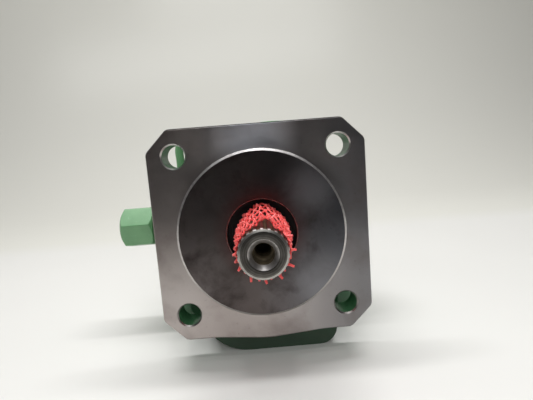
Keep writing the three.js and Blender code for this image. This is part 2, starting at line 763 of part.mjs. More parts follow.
function banjoBolt(headFoot, eyeTop) {
  const headTop = headFoot + banjoHeadHeight;
  const corner = banjoHeadFlats / Math.sqrt(3);
  const crown = turnedAlongZ([
    [0, headFoot], [corner + 1, headFoot], [corner + 1, headTop - 1.5], [corner - 1.6, headTop], [0, headTop],
  ], drainX, drainY);
  const head = hexAlongZ(banjoHeadFlats, headFoot, headTop, drainX, drainY).intersect(crown);
  const shank = drillAlongZ(banjoThreadRadius, banjoWellFoot + 2, headFoot + 1, drainX, drainY, 16);
  const bore = drillAlongZ(drainPassageRadius, banjoWellFoot + 1, eyeTop - 3, drainX, drainY);
  const eyeMid = eyeTop - banjoEyeHeight / 2;
  const crossHole = drillAlongX(2, drainX - 9, drainX + 9, drainY, eyeMid, 12);
  addPiece('drain_banjo_bolt', cut(head.add(shank), [bore, crossHole]), greenPaint);
}

function banjoEye(foot, top, centre, heading) {
  const stub = new THREE.CylinderGeometry(stubRadius, stubRadius, stubLength, 20);
  stub.rotateX(Math.PI / 2);
  stub.lookAt(heading);
  stub.translate(...centre.clone().addScaledVector(heading, stubLength / 2));
  const edge = 0.8;
  const blank = turnedAlongZ([
    [0, foot], [banjoEyeRadius - edge, foot], [banjoEyeRadius, foot + edge], [banjoEyeRadius, top - edge],
    [banjoEyeRadius - edge, top], [0, top],
  ], drainX, drainY);
  const bore = drillAlongZ(banjoThreadRadius + GAP, foot - 1, top + 1, drainX, drainY);
  addPiece('drain_banjo_eye', cut(blank.add(solid(stub)), [bore]), greenPaint);
}

function tubeJoint(nippleTop) {
  const collarFoot = bossTop + GAP;
  const collarTop = bossTop + nippleCollarHeight;
  const nipple = turnedAlongZ([
    [0, nippleFoot], [nippleRadius, nippleFoot], [nippleRadius, collarFoot], [nippleCollarRadius, collarFoot],
    [nippleCollarRadius, collarTop], [nippleRadius, collarTop], [nippleRadius, nippleTop], [0, nippleTop],
  ], tubeDropX, tubeDropY, 24);
  const passage = drillAlongZ(2, nippleFoot - 1, nippleTop + 1, tubeDropX, tubeDropY, 12);
  addPiece('drain_nipple', cut(nipple, [passage]), greenPaint);

  const nutFoot = collarTop + GAP;
  const nutTop = nippleTop + tubeNutReach;
  const crown = turnedAlongZ([
    [0, nutFoot], [7.6, nutFoot], [8.6, nutFoot + 1], [8.6, nutTop - 2], [6.4, nutTop], [0, nutTop],
  ], tubeDropX, tubeDropY);
  const [nippleWell, tubeWell] = [nippleRadius + GAP, tubeRadius + GAP];
  const well = turnedAlongZ([
    [0, nutFoot - 1], [nippleWell, nutFoot - 1], [nippleWell, nippleTop + GAP], [tubeWell, nippleTop + GAP + 1.5],
    [tubeWell, nutTop + 1], [0, nutTop + 1],
  ], tubeDropX, tubeDropY, 24);
  const nut = hexAlongZ(tubeNutFlats, nutFoot, nutTop, tubeDropX, tubeDropY).intersect(crown);
  addPiece('drain_tube_nut', cut(nut, [well]), greenPaint);
}

// The tube rises from the banjo, crosses to the left and drops straight into its nut.
function drainTube(start, heading, end) {
  const route = new THREE.CatmullRomCurve3([
    start,
    start.clone().addScaledVector(heading, 6),
    new THREE.Vector3(-20, 51, 59.5),
    new THREE.Vector3(-34, 58.5, 64),
    new THREE.Vector3(-46, 60, 65),
    new THREE.Vector3(-53.8, 60, 62.8),
    new THREE.Vector3(tubeDropX, tubeDropY, 56),
    new THREE.Vector3(tubeDropX, tubeDropY, 46),
    new THREE.Vector3(tubeDropX, tubeDropY, end),
  ], false, 'centripetal');
  const section = new THREE.Shape().absarc(0, 0, tubeRadius, 0, 2 * Math.PI);
  const tube = new THREE.ExtrudeGeometry(section, {
    steps: 34, bevelEnabled: false, curveSegments: 4, extrudePath: route,
  });
  addPiece('drain_tube', solid(tube), greenPaint);
}

// The net sleeve is drawn over the splines and flares toward the bore.
function netSleeve() {
  const tip = shaftTip + 0.5;
  const profile = [[netTipRadius - netWall, tip], [netTipRadius, tip], [netBackRadius, netBack],
    [netBackRadius - netWall, netBack], [netTipRadius - netWall, tip]];
  addPiece('shaft_net_sleeve', turned(profile, 28), redPlastic);
}

frontFlange();
gearHousing();
rearCover();
tieBolts();
dowelPins();
bearingBlocks();
bodySeals();
shaftSeal();
driveShaft();
idlerShaft();
leftPort();
rightPort();
drainLine();
netSleeve();

export default motor;
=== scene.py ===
"""Hydraulic gear motor: fine surfaces, finishes, light and camera on the CAD frame.

Shapes are written in millimetres around the output shaft, as the part is: X points right, Y back
from the flange's mounting face and Z up, with y = 0 on that face and the shaft at x = 0, z = 0.
"""
import json
import math
import random

import bmesh
import bpy
from mathutils import Matrix, Vector, noise
from mathutils.geometry import tessellate_polygon


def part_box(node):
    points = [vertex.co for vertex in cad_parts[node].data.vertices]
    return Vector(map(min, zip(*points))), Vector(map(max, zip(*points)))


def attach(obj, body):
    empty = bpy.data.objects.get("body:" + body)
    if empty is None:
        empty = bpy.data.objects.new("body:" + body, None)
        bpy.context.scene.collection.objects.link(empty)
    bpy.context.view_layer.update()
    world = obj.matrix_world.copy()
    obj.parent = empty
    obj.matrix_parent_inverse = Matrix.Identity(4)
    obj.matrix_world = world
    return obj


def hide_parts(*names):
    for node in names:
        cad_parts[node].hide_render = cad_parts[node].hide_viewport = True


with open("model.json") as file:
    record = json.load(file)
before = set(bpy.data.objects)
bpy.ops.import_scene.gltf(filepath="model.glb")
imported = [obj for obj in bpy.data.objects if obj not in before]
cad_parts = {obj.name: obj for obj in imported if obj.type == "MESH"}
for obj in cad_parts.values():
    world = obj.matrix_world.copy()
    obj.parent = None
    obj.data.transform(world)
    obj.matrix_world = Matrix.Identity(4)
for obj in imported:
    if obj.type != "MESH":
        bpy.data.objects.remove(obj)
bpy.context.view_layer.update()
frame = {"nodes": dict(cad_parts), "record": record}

MM = 0.001
FULL = 2 * math.pi
joints = {joint["name"]: joint for joint in frame["record"]["behaviour"]["joints"]}
mounts = {mount["name"]: mount for mount in frame["record"]["mounts"]}
AXIS = Vector(joints["drive_spin"]["pos_m"])
ORIGIN = Vector((AXIS.x, mounts["mounting_face"]["pos_m"][1], AXIS.z))
IDLER_Z = (joints["idler_spin"]["pos_m"][2] - AXIS.z) / MM


def span(node):
    """Lowest and highest corner of a CAD node, in motor millimetres."""
    low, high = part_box(node)
    return (Vector(low) - ORIGIN) / MM, (Vector(high) - ORIGIN) / MM


# ---------- sizes

flange_low, flange_high = span("front_flange")
housing_low, housing_high = span("gear_housing")
cover_low, cover_high = span("rear_cover")
shaft_low, shaft_high = span("drive_gear_shaft")
net_low, net_high = span("shaft_net_sleeve")

FLANGE_HALF = flange_high.x
FLANGE_CHAMFER = 13.5
FLANGE_CORNER = 5.0            # rounding of the eight outline corners
FLANGE_THICK = 18.0
LUG_HALF = 34.0                # the cast lug in the middle of the lower edge
LUG_DROP = 3.0
LUG_ROUNDING = 60.0
PILOT_RADIUS = 50.8
PILOT_CHAMFER = 1.35
PILOT_HEIGHT = -flange_low.y
BOLT_OFFSET = 49.5
BOLT_HOLE = 7.0
BOLT_CHAMFER = 0.85
SPOT_FACE = 13.5
SEAL_BORE = 21.0
SEAL_BORE_DEPTH = 14.0
SHAFT_BORE = 13.5

CORE_HALF = 46.0
CORE_TOP = housing_high.z
CORE_TOP_CORNER = 20.0
CORE_FOOT_CORNER = 24.0
NECK_FOOT_CORNERS = (32.0, 12.0)   # left and right, where the neck leaves the flange
BOSS_HALF = housing_high.x
BOSS_TOP = 22.0
BOSS_FOOT = -78.0
BOSS_FRONT = 46.0
BOSS_BACK = 102.0

SHAFT_RADIUS = 12.5
SPLINE_TEETH = 22
SPLINE_ROOT = 11.5
COLLAR_FACE = 11.15            # the flat end inside the collar's chamfer
COLLAR_RADIUS = 12.3
COLLAR_LENGTH = 0.8            # the teeth start behind this
CONE_LENGTH = 1.5              # and have their full height behind this
CENTRE_MOUTH = 7.6
CENTRE_BORE = 5.25
CENTRE_THREAD = 4.25
SPLINE_TIP = SHAFT_RADIUS + 0.2
SPLINE_BACK = -16.0
SPLINE_RUNOUT = 6.0
SHAFT_TIP = shaft_low.y
GEAR_TEETH = 12
GEAR_MODULE = -IDLER_Z / GEAR_TEETH
GEAR_WIDTH = 30.0
GEAR_CHAMFER = 0.5
GEAR_MID = (housing_low.y + housing_high.y) / 2
GEAR_POCKET = 26.6
JOURNAL = 11.0

PORT_Z = -3.5
PORT_BORE = 11.3
NUT_SPIN = math.radians(-14.5)   # where the cap nut stopped when it was tightened
NUT_REACH = 3.2                  # how far past its CAD end the cap nut comes towards the adapter
DRAIN_X = 11.0
DRAIN_Y = 28.6
DRAIN_HOLE = 6.3
PIPE_X = -57.5                   # where the drain pipe goes down to the left port boss
PIPE_Y = 60.0
TIE_BOLTS = [(-33, 30), (33, 30), (-31, -70), (31, -70)]
TIE_SHANK = 5.0
TIE_CLEARANCE = 5.4


# ---------- outlines

def arc(centre, radius, start, end, steps):
    """Points on a circle between two angles in degrees, both ends included."""
    points = []
    for i in range(steps + 1):
        angle = math.radians(start + (end - start) * i / steps)
        points.append(Vector((centre[0] + radius * math.cos(angle), centre[1] + radius * math.sin(angle))))
    return points


def quarter(steps):
    """Angles of a quarter turn, in equal steps."""
    return [math.pi / 2 * i / steps for i in range(steps + 1)]


def circle(count, spin=0.0):
    """Equally spaced points on a circle of radius 1."""
    angles = [spin + FULL * i / count for i in range(count)]
    return [Vector((math.cos(angle), math.sin(angle))) for angle in angles]


def blend(low, high, value):
    """A smooth step from 0 at low to 1 at high."""
    share = min(1.0, max(0.0, (value - low) / (high - low)))
    return share * share * (3 - 2 * share)


def fillet(corners, radius, steps=5, closed=True):
    """The polyline through the corners, each one rounded. A corner may carry its own radius third."""
    points = []
    count = len(corners)
    for i, corner in enumerate(corners):
        here = Vector(corner[:2])
        size = corner[2] if len(corner) > 2 else radius
        at_end = not closed and i in (0, count - 1)
        if at_end or size == 0:
            points.append(here)
            continue
        back = Vector(corners[i - 1][:2]) - here
        ahead = Vector(corners[(i + 1) % count][:2]) - here
        half = back.angle(ahead) / 2
        reach = min(size / math.tan(half), 0.48 * back.length, 0.48 * ahead.length)
        size = reach * math.tan(half)
        back.normalize()
        ahead.normalize()
        centre = here + (back + ahead).normalized() * (size / math.sin(half))
        first = here + back * reach - centre
        last = here + ahead * reach - centre
        turn_by = math.atan2(first.x * last.y - first.y * last.x, first.dot(last))
        for k in range(steps + 1):
            points.append(centre + Matrix.Rotation(turn_by * k / steps, 2) @ first)
    return points


def grown(outline, distance):
    """An outline moved outward by a distance, or inward if it is negative. It runs anticlockwise."""
    points = []
    count = len(outline)
    for i in range(count):
        back = (outline[i] - outline[i - 1]).normalized()
        ahead = (outline[(i + 1) % count] - outline[i]).normalized()
        normal = Vector((back.y + ahead.y, -back.x - ahead.x)).normalized()
        stretch = max(0.5, normal.dot(Vector((back.y, -back.x))))
        points.append(outline[i] + normal * distance / stretch)
    return points


def rounded_box(left, right, foot, top, foot_radii, top_radius, steps=10):
    """A rectangle with rounded corners, anticlockwise in x and z. foot_radii are left and right."""
    left_foot, right_foot = foot_radii
    return [
        *arc((left + left_foot, foot + left_foot), left_foot, 180, 270, steps),
        *arc((right - right_foot, foot + right_foot), right_foot, 270, 360, steps),
        *arc((right - top_radius, top - top_radius), top_radius, 0, 90, steps),
        *arc((left + top_radius, top - top_radius), top_radius, 90, 180, steps),
    ]


def core_outline(foot, foot_corners=(CORE_FOOT_CORNER, CORE_FOOT_CORNER)):
    """The outline that the castings behind the flange share."""
    return rounded_box(-CORE_HALF, CORE_HALF, foot, CORE_TOP, foot_corners, CORE_TOP_CORNER)


def flange_outline():
    """A chamfered square whose lower edge sags to the lug."""
    half = FLANGE_HALF
    inner = half - FLANGE_CHAMFER
    corners = [
        (-half, inner), (-half, -inner), (-inner, -half), (-LUG_HALF, -half, LUG_ROUNDING),
        (0, -half - LUG_DROP, LUG_ROUNDING), (LUG_HALF, -half, LUG_ROUNDING), (inner, -half),
        (half, -inner), (half, inner), (inner, half), (-inner, half),
    ]
    return fillet(corners, FLANGE_CORNER)


# ---------- surfaces

TURN_AXES = {
    "X": ((0, 1, 0), (0, 0, 1), (1, 0, 0)),
    "Y": ((0, 0, 1), (1, 0, 0), (0, 1, 0)),
    "Z": ((1, 0, 0), (0, 1, 0), (0, 0, 1)),
}


def along(axis, origin=(0, 0, 0)):
    """The placing of a turned shape, whose own axis runs along X, Y or Z of the motor."""
    return Matrix.Translation(origin) @ Matrix(TURN_AXES[axis]).transposed().to_4x4()


class Surface:
    """A closed mesh in the making, in motor millimetres."""

    def __init__(self):
        self.mesh = bmesh.new()

    def ring(self, points):
        """New vertices at the points."""
        return [self.mesh.verts.new(point) for point in points]

    def join(self, first, second):
        """Faces between two rings. A ring of one point is a pole."""
        count = max(len(first), len(second))
        for i in range(count):
            j = (i + 1) % count
            if len(first) == 1:
                self.mesh.faces.new((first[0], second[j], second[i]))
            elif len(second) == 1:
                self.mesh.faces.new((first[i], first[j], second[0]))
            else:
                self.mesh.faces.new((first[i], first[j], second[j], second[i]))

    def cap(self, outer, *holes):
        """A flat face inside the outer loop, open at the holes."""
        loops = [outer, *holes]
        corners = [vert for loop in loops for vert in loop]
        for triangle in tessellate_polygon([[vert.co for vert in loop] for loop in loops]):
            self.mesh.faces.new([corners[i] for i in triangle])

    def stack(self, rings):
        """Faces between each ring and the next."""
        for first, second in zip(rings, rings[1:]):
            self.join(first, second)

    def turn(self, profile, place, segments=64, closed=False):
        """A profile of (radius, distance) pairs turned about the placing's axis."""
        rings = []
        for radius, distance in profile:
            if radius < 1e-6:
                rings.append(self.ring([place @ Vector((0, 0, distance))]))
                continue
            around = [place @ Vector((*(p * radius), distance)) for p in circle(segments)]
            rings.append(self.ring(around))
        if closed:
            rings.append(rings[0])
        self.stack(rings)
        return rings

    def plate(self, outline, profile, holes=()):
        """An outline in x and z run along Y. The profile pairs say how far in the wall stands at each y.
        Each hole is a centre and its own profile of (radius, y) pairs from front to back."""
        rings = [self.ring([(p.x, y, p.y) for p in grown(outline, -inset)]) for inset, y in profile]
        self.stack(rings)
        fronts, backs = [], []
        for (x, z), hole_profile in holes:
            hole = self.turn(hole_profile, along("Y", (x, 0, z)), 72 if hole_profile[0][0] > 12 else 40)
            fronts.append(hole[0])
            backs.append(hole[-1])
        self.cap(rings[0], *fronts)
        self.cap(rings[-1], *backs)

    def hexagon(self, flats, start, end, place, start_crown, end_crown, spin=0.0, bore=None, slope=0.5):
        """A nut or bolt head. Each end is flat inside its crown radius and coned off outside it. The
        bore is a profile from end to start, or None for a solid one."""
        corner = flats / math.sqrt(3)
        outline = []
        rounded = fillet([p * corner for p in circle(6, spin)], 0.9, steps=3)
        for i, point in enumerate(rounded):
            step = rounded[(i + 1) % len(rounded)] - point
            pieces = 9 if step.length > 2 else 1
            outline.extend(point + step * k / pieces for k in range(pieces))

        def wall(distance, crown, inward):
            return [(p.x, p.y, distance + inward * slope * max(0.0, p.length - crown)) for p in outline]

        def rim(distance, crown):
            return [(*(p.normalized() * min(crown, p.length - 0.08)), distance) for p in outline]

        profile = [rim(start, start_crown), wall(start, start_crown, 1), wall(end, end_crown, -1),
                   rim(end, end_crown)]
        rings = [self.ring([place @ Vector(point) for point in points]) for points in profile]
        self.stack(rings)
        if bore is None:
            self.cap(rings[0])
            self.cap(rings[-1])
            return
        hole = self.turn(bore, place, 48)
        self.cap(rings[-1], hole[0])
        if len(hole[-1]) > 1:
            self.cap(rings[0], hole[-1])
        else:
            self.cap(rings[0])

    def tube(self, path, radius, sides=16):
        """A round bar along a path of points. The radius may be a function of the share of the way."""
        heading = (path[1] - path[0]).normalized()
        side = heading.orthogonal().normalized()
        rings = []
        for i, point in enumerate(path):
            ahead = (path[min(i + 1, len(path) - 1)] - path[max(i - 1, 0)]).normalized()
            side = (side - ahead * side.dot(ahead)).normalized()
            up = ahead.cross(side)
            size = radius(i / (len(path) - 1)) if callable(radius) else radius
            rings.append(self.ring([point + (side * p.x + up * p.y) * size for p in circle(sides)]))
        self.stack(rings)
        self.cap(rings[0])
        self.cap(rings[-1])

    def to_mesh(self, name):
        """The finished mesh, in metres of the frame."""
        bmesh.ops.recalc_face_normals(self.mesh, faces=self.mesh.faces)
        for vert in self.mesh.verts:
            vert.co = ORIGIN + vert.co * MM
        mesh = bpy.data.meshes.new(name)
        self.mesh.to_mesh(mesh)
        self.mesh.free()
        return mesh


def turned(profile, place, segments, closed=False):
    """A surface of its own, turned about the placing's axis."""
    surface = Surface()
    surface.turn(profile, place, segments, closed)
    return surface


def placed(name, data):
    """A new object in the scene."""
    shown = bpy.data.objects.new(name, data)
    bpy.context.collection.objects.link(shown)
    return shown


def bar(radius, start, end):
    """The profile of a solid round bar."""
    return [(0, start), (radius, start), (radius, end), (0, end)]


JOIN = "UNION"
CUT = "DIFFERENCE"


def shaped(name, base, steps):
    """The base solid after each step, (JOIN, solid) or (CUT, solid), as one mesh."""
    target = placed(name, base.to_mesh(name))
    tools = []
    for kind, surface in steps:
        tool = placed("tool", surface.to_mesh("tool"))
        tools.append(tool)
        modifier = target.modifiers.new("shape", "BOOLEAN")
        modifier.operation = kind
        modifier.solver = "MANIFOLD"
        modifier.object = tool
    evaluated = target.evaluated_get(bpy.context.evaluated_depsgraph_get())
    mesh = bpy.data.meshes.new_from_object(evaluated)
    mesh.name = name
    for spare in [target, *tools]:
        bpy.data.objects.remove(spare)
    return mesh


def piece(name, mesh, nodes, finishes, body="housing", finish_at=None, bevel=0.0, sharp=32):
    """A finished object that stands for CAD nodes. finish_at gives a face's finish from its centre."""
    mesh.name = name
    mesh.materials.clear()
    for finish in finishes:
        mesh.materials.append(finish)
    for polygon in mesh.polygons:
        polygon.use_smooth = True
        if finish_at is not None:
            polygon.material_index = finishes.index(finish_at((polygon.center - ORIGIN) / MM))
    mesh.set_sharp_from_angle(angle=math.radians(sharp))
    shown = placed(name, mesh)
    if bevel:
        edge = shown.modifiers.new("edges", "BEVEL")
        edge.width = bevel * MM
        edge.segments = 3
        edge.limit_method = "ANGLE"
        edge.angle_limit = math.radians(sharp)
        edge.miter_outer = "MITER_ARC"
    normals = shown.modifiers.new("normals", "WEIGHTED_NORMAL")
    normals.keep_sharp = True
    normals.weight = 80
    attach(shown, body)
    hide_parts(*nodes)
    return shown


# ---------- finishes

def srgb(red, green, blue):
    """A colour as it is seen on a screen, 0 to 255, for a shader."""
    def linear(value):
        share = value / 255
        return share / 12.92 if share <= 0.04045 else ((share + 0.055) / 1.055) ** 2.4
    return (linear(red), linear(green), linear(blue), 1)


class Finish:
    """A material being wired. The makers of nodes return the output that the next node takes."""

    def __init__(self, name):
        self.material = bpy.data.materials.new(name)
        self.material.use_nodes = True
        self.tree = self.material.node_tree
        self.shader = self.tree.nodes["Principled BSDF"]
        self.place = self.tree.nodes.new("ShaderNodeTexCoord").outputs["Object"]

    def feed(self, node, inputs):
        """Gives each named input of a node a plain value or another node's output."""
        for name, value in inputs.items():
            if isinstance(value, bpy.types.NodeSocket):
                self.tree.links.new(value, node.inputs[name])
            else:
                node.inputs[name].default_value = value

    def put(self, **inputs):
        """Sets inputs of the shader, such as Base_Color."""
        self.feed(self.shader, {name.replace("_", " "): value for name, value in inputs.items()})

    def node(self, kind, inputs):
        """A new shader node with its inputs fed."""
        node = self.tree.nodes.new("ShaderNode" + kind)
        self.feed(node, inputs)
        return node

    def noise(self, size, detail=4.0, roughness=0.5, distortion=0.0, place=None):
        """Fractal noise whose features are about so many millimetres across."""
        return self.node("TexNoise", {
            "Vector": place or self.place, "Scale": 1 / (size * MM), "Detail": detail,
            "Roughness": roughness, "Distortion": distortion,
        }).outputs["Fac"]

    def stretched(self, x, y, z):
        """Object coordinates scaled along each axis, for streaks."""
        return self.node("Mapping", {"Vector": self.place, "Scale": (x, y, z)}).outputs["Vector"]

    def shades(self, factor, dark, light, start=0.3, end=0.7):
        """A colour between two screen colours as the factor goes from start to end."""
        node = self.node("ValToRGB", {"Fac": factor})
        for element, position, colour in zip(node.color_ramp.elements, (start, end), (dark, light)):
            element.position = position
            element.color = srgb(*colour)
        return node.outputs["Color"]

    def tint(self, colour, factor, *screen_colour):
        """A colour taken towards a screen colour by the factor."""
        node = self.tree.nodes.new("ShaderNodeMix")
        node.data_type = "RGBA"
        self.feed(node, {"Factor": factor, 6: colour, 7: srgb(*screen_colour)})
        return node.outputs[2]

    def level(self, factor, low, high, start=0.0, end=1.0, ease="LINEAR"):
        """A factor between start and end taken to the range from low to high."""
        node = self.node("MapRange", {
            "Value": factor, "From Min": start, "From Max": end, "To Min": low, "To Max": high,
        })
        node.interpolation_type = ease
        return node.outputs["Result"]

    def calc(self, kind, first, second=0.0):
        """The result of a math node."""
        node = self.node("Math", {0: first, 1: second})
        node.operation = kind
        return node.outputs[0]

    def height(self, axis, middle=0.0):
        """Distance along axis 0, 1 or 2 from a place, in millimetres. Zero is the shaft axis or the
        flange face."""
        position = self.node("SeparateXYZ", {0: self.place}).outputs[axis]
        return self.calc("SUBTRACT", self.calc("DIVIDE", position, MM), ORIGIN[axis] / MM + middle)

    def radius(self, x=0.0, z=0.0):
        """Distance from an axis along Y, in millimetres."""
        across = self.calc("POWER", self.height(0, x), 2.0)
        up = self.calc("POWER", self.height(2, z), 2.0)
        return self.calc("SQRT", self.calc("ADD", across, up))

    def patch(self, x, z, size):
        """A soft round patch around a point of the front face: 1 at its middle and 0 outside it."""
        return self.level(self.radius(x, z), 0.0, 1.0, size, 0.0, "SMOOTHERSTEP")

    def tool_rings(self, pitch):
        """Rings round the shaft axis, as turning leaves them, from 0 to 1 and back at each pitch."""
        wave = self.calc("SINE", self.calc("MULTIPLY", self.radius(), FULL / pitch))
        return self.level(wave, 0.0, 1.0, -1.0, 1.0)

    def bump(self, height, depth, strength=1.0, under=None):
        """A bump whose full height is so many millimetres, on top of another bump if one is given."""
        node = self.node("Bump", {"Height": height, "Distance": depth * MM, "Strength": strength})
        if under is not None:
            self.feed(node, {"Normal": under})
        return node.outputs["Normal"]


def shaded_green_paint():
    """Machinery enamel over cast iron, slightly uneven with dust and thin spots; painted shade makes it
    darker than the fittings' copy, and darker and greyer towards the bottom.
    """
    finish = Finish("green_enamel")
    tone = finish.noise(30, detail=3)
    grime = finish.noise(7, detail=6, roughness=0.62)
    # painted shade: the castings' green is a darker copy of the fittings' enamel
    colour = finish.shades(tone, (60, 108, 72), (74, 124, 86))
    colour = finish.tint(colour, finish.level(grime, 0.0, 0.5, 0.55, 0.8), 36, 68, 46)
    # painted shade: darker and greyer towards the bottom, under the flange
    colour = finish.tint(colour, finish.level(finish.height(2), 0.85, 0.0, -80, -50), 54, 64, 55)
    orange_peel = finish.bump(finish.noise(1.6, detail=2), 0.05, 0.5)
    cast = finish.bump(finish.noise(4.5, detail=5), 0.22, 0.5, under=orange_peel)
    finish.put(Base_Color=colour, Roughness=finish.level(grime, 0.34, 0.52), Normal=cast)
    finish.put(Specular_IOR_Level=0.4, Coat_Weight=0.1, Coat_Roughness=0.2)
    return finish.material


def fitting_paint():
    """The same enamel on turned steel fittings, the lighter copy without the castings' painted shade:
    smoother, and rubbed at a few spots.
    """
    finish = Finish("green_enamel_fittings")
    tone = finish.noise(14, detail=4)
    rubbed = finish.noise(3.2, detail=6, roughness=0.7)
    colour = finish.shades(tone, (98, 146, 102), (112, 160, 114))
    colour = finish.tint(colour, finish.level(rubbed, 0.0, 0.35, 0.62, 0.72), 160, 194, 162)
    wave = finish.bump(finish.noise(2.2, detail=3), 0.06, 0.6)
    finish.put(Base_Color=colour, Roughness=finish.level(rubbed, 0.32, 0.46), Normal=wave)
    finish.put(Coat_Weight=0.15, Coat_Roughness=0.25)
    return finish.material


def machined_iron():
    """The flange's milled face: bare grey iron under a thin brownish film of oil and fingermarks, with
    painted reflection and shade: bluer towards the right, a pale patch at the top, a dark one at the lower
    right.
    """
    finish = Finish("machined_iron")
    broad = finish.noise(70, detail=3, roughness=0.5)
    stain = finish.noise(26, detail=5, roughness=0.55, distortion=0.2)
    speck = finish.noise(2.4, detail=5, roughness=0.7)
    colour = finish.shades(broad, (166, 156, 152), (188, 181, 178))
    # painted reflection: the face turns bluer grey towards the right
    colour = finish.tint(colour, finish.level(finish.height(0), 0.0, 0.8, 0, 60), 132, 133, 138)
    colour = finish.tint(colour, finish.level(stain, 0.0, 0.55, 0.48, 0.78), 112, 98, 93)
    colour = finish.tint(colour, finish.level(speck, 0.0, 0.5, 0.62, 0.8), 84, 74, 70)
    # painted highlight: a pale bluish patch near the top of the face; its mask also roughens the face there
    painted_top_highlight = finish.patch(-2, 58, 40)
    colour = finish.tint(colour, painted_top_highlight, 212, 214, 221)
    # painted shade: a darker patch at the lower right of the face
    painted_lower_right_shade = finish.calc("MULTIPLY", finish.patch(58, -52, 48), 0.45)
    colour = finish.tint(colour, painted_lower_right_shade, 100, 97, 95)
    marks = finish.bump(finish.tool_rings(0.55), 0.01, 0.25)
    surface = finish.bump(finish.noise(0.5, detail=3), 0.02, 0.5, under=marks)
    finish.put(Base_Color=colour, Metallic=1.0, Normal=surface)
    brightened_patches = finish.calc("MAXIMUM", finish.patch(-32, 60, 34), finish.patch(48, 48, 50))
    smear = finish.calc("MAXIMUM", painted_top_highlight, finish.calc("MULTIPLY", brightened_patches, 0.25))
    smear = finish.calc("MULTIPLY", smear, finish.level(stain, 0.5, 1.0, 0.35, 0.6))
    clean = finish.level(stain, 0.27, 0.38, 0.3, 0.7)
    finish.put(Roughness=finish.calc("ADD", clean, finish.calc("MULTIPLY", smear, 0.5)))
    return finish.material


def pilot_iron():
    """The turned pilot face: darker, oilier, with concentric tool marks, and with painted light: bluer and
    lighter towards the right, pale patches at the right, and a reddish reflection of the net round the seal
    bore.
    """
    finish = Finish("turned_iron")
    broad = finish.noise(60, detail=3, roughness=0.5)
    stain = finish.noise(17, detail=5, roughness=0.6, distortion=0.3)
    speck = finish.noise(2.0, detail=5, roughness=0.7)
    colour = finish.shades(broad, (84, 76, 74), (108, 102, 101), 0.32, 0.68)
    # painted reflection: the face turns lighter and bluer towards the right
    colour = finish.tint(colour, finish.level(finish.height(0), 0.0, 0.8, -5, 45), 104, 106, 112)
    colour = finish.tint(colour, finish.level(stain, 0.0, 0.8, 0.46, 0.72), 60, 53, 52)
    colour = finish.tint(colour, finish.level(speck, 0.0, 0.5, 0.6, 0.78), 48, 42, 40)
    # painted reflection: the red net mirrored in the face round the seal bore
    net_reflection_near_bore = finish.level(finish.radius(), 0.45, 0.0, SEAL_BORE, SEAL_BORE + 9)
    colour = finish.tint(colour, net_reflection_near_bore, 96, 62, 62)
    # painted highlight: lighter patches at the upper and lower right of the face
    brightened_patches = finish.calc("MAXIMUM", finish.patch(30, 24, 22), finish.patch(34, -30, 26))
    colour = finish.tint(colour, finish.calc("MULTIPLY", brightened_patches, 0.7), 138, 138, 142)
    marks = finish.bump(finish.tool_rings(0.4), 0.01, 0.4)
    surface = finish.bump(finish.noise(0.6, detail=3), 0.02, 0.5, under=marks)
    finish.put(Base_Color=colour, Metallic=1.0, Normal=surface)
    smear = finish.calc("MULTIPLY", finish.patch(32, 30, 26), 0.2)
    finish.put(Roughness=finish.calc("ADD", finish.level(stain, 0.28, 0.4, 0.3, 0.7), smear))
    return finish.material


def bright_edge():
    """Freshly cut chamfers round the pilot and the bolt holes, with painted shade that darkens them towards
    the foot.
    """
    finish = Finish("cut_edge")
    wear = finish.noise(2.5, detail=5)
    colour = finish.shades(wear, (204, 200, 198), (234, 231, 229))
    # painted shade: darker towards the bottom
    colour = finish.tint(colour, finish.level(finish.height(2), 0.7, 0.0, -35, 15), 140, 134, 130)
    finish.put(Base_Color=colour, Metallic=1.0, Roughness=finish.level(wear, 0.3, 0.42))
    finish.put(Normal=finish.bump(finish.noise(0.4, detail=2), 0.01, 0.4))
    return finish.material


def turned_steel(name, size, dark, light, pitch, depth, shine, banded=False):
    """Turned steel of the shaft, with fine rings round the axis. The cut end is banded by coarser ones."""
    finish = Finish(name)
    tone = finish.noise(size, detail=5, roughness=0.6)
    colour = finish.shades(tone, dark, light, 0.3, 0.72)
    if banded:
        colour = finish.tint(colour, finish.calc("MULTIPLY", finish.tool_rings(1.1), 0.6), 74, 71, 68)
    marks = finish.bump(finish.tool_rings(pitch), depth, 0.6)
    surface = finish.bump(finish.noise(0.5), 0.01, 0.4, under=marks)
    finish.put(Base_Color=colour, Metallic=1.0, Normal=surface, Roughness=finish.level(tone, *shine))
    return finish.material


def bore_steel():
    """The threaded centre hole, dark with oil; the same finish darkens the spline grooves as painted shade.
    """
    finish = Finish("bore_oil_and_groove_shade")
    tone = finish.noise(3, detail=5)
    colour = finish.shades(tone, (74, 66, 52), (118, 106, 84))
    finish.put(Base_Color=colour, Metallic=0.35, Roughness=finish.level(tone, 0.3, 0.5))
    return finish.material


def net_plastic():
    """Extruded polyethylene netting, glossy and a little translucent."""
    finish = Finish("red_netting")
    tone = finish.noise(6, detail=3)
    colour = finish.shades(tone, (240, 84, 84), (250, 108, 104))
    finish.put(Base_Color=colour, Roughness=finish.level(tone, 0.28, 0.42))
    finish.put(Normal=finish.bump(finish.noise(0.7, detail=2), 0.05, 0.6))
    finish.put(Subsurface_Weight=0.35, Subsurface_Scale=0.0012, Subsurface_Radius=(1.0, 0.3, 0.25))
    return finish.material


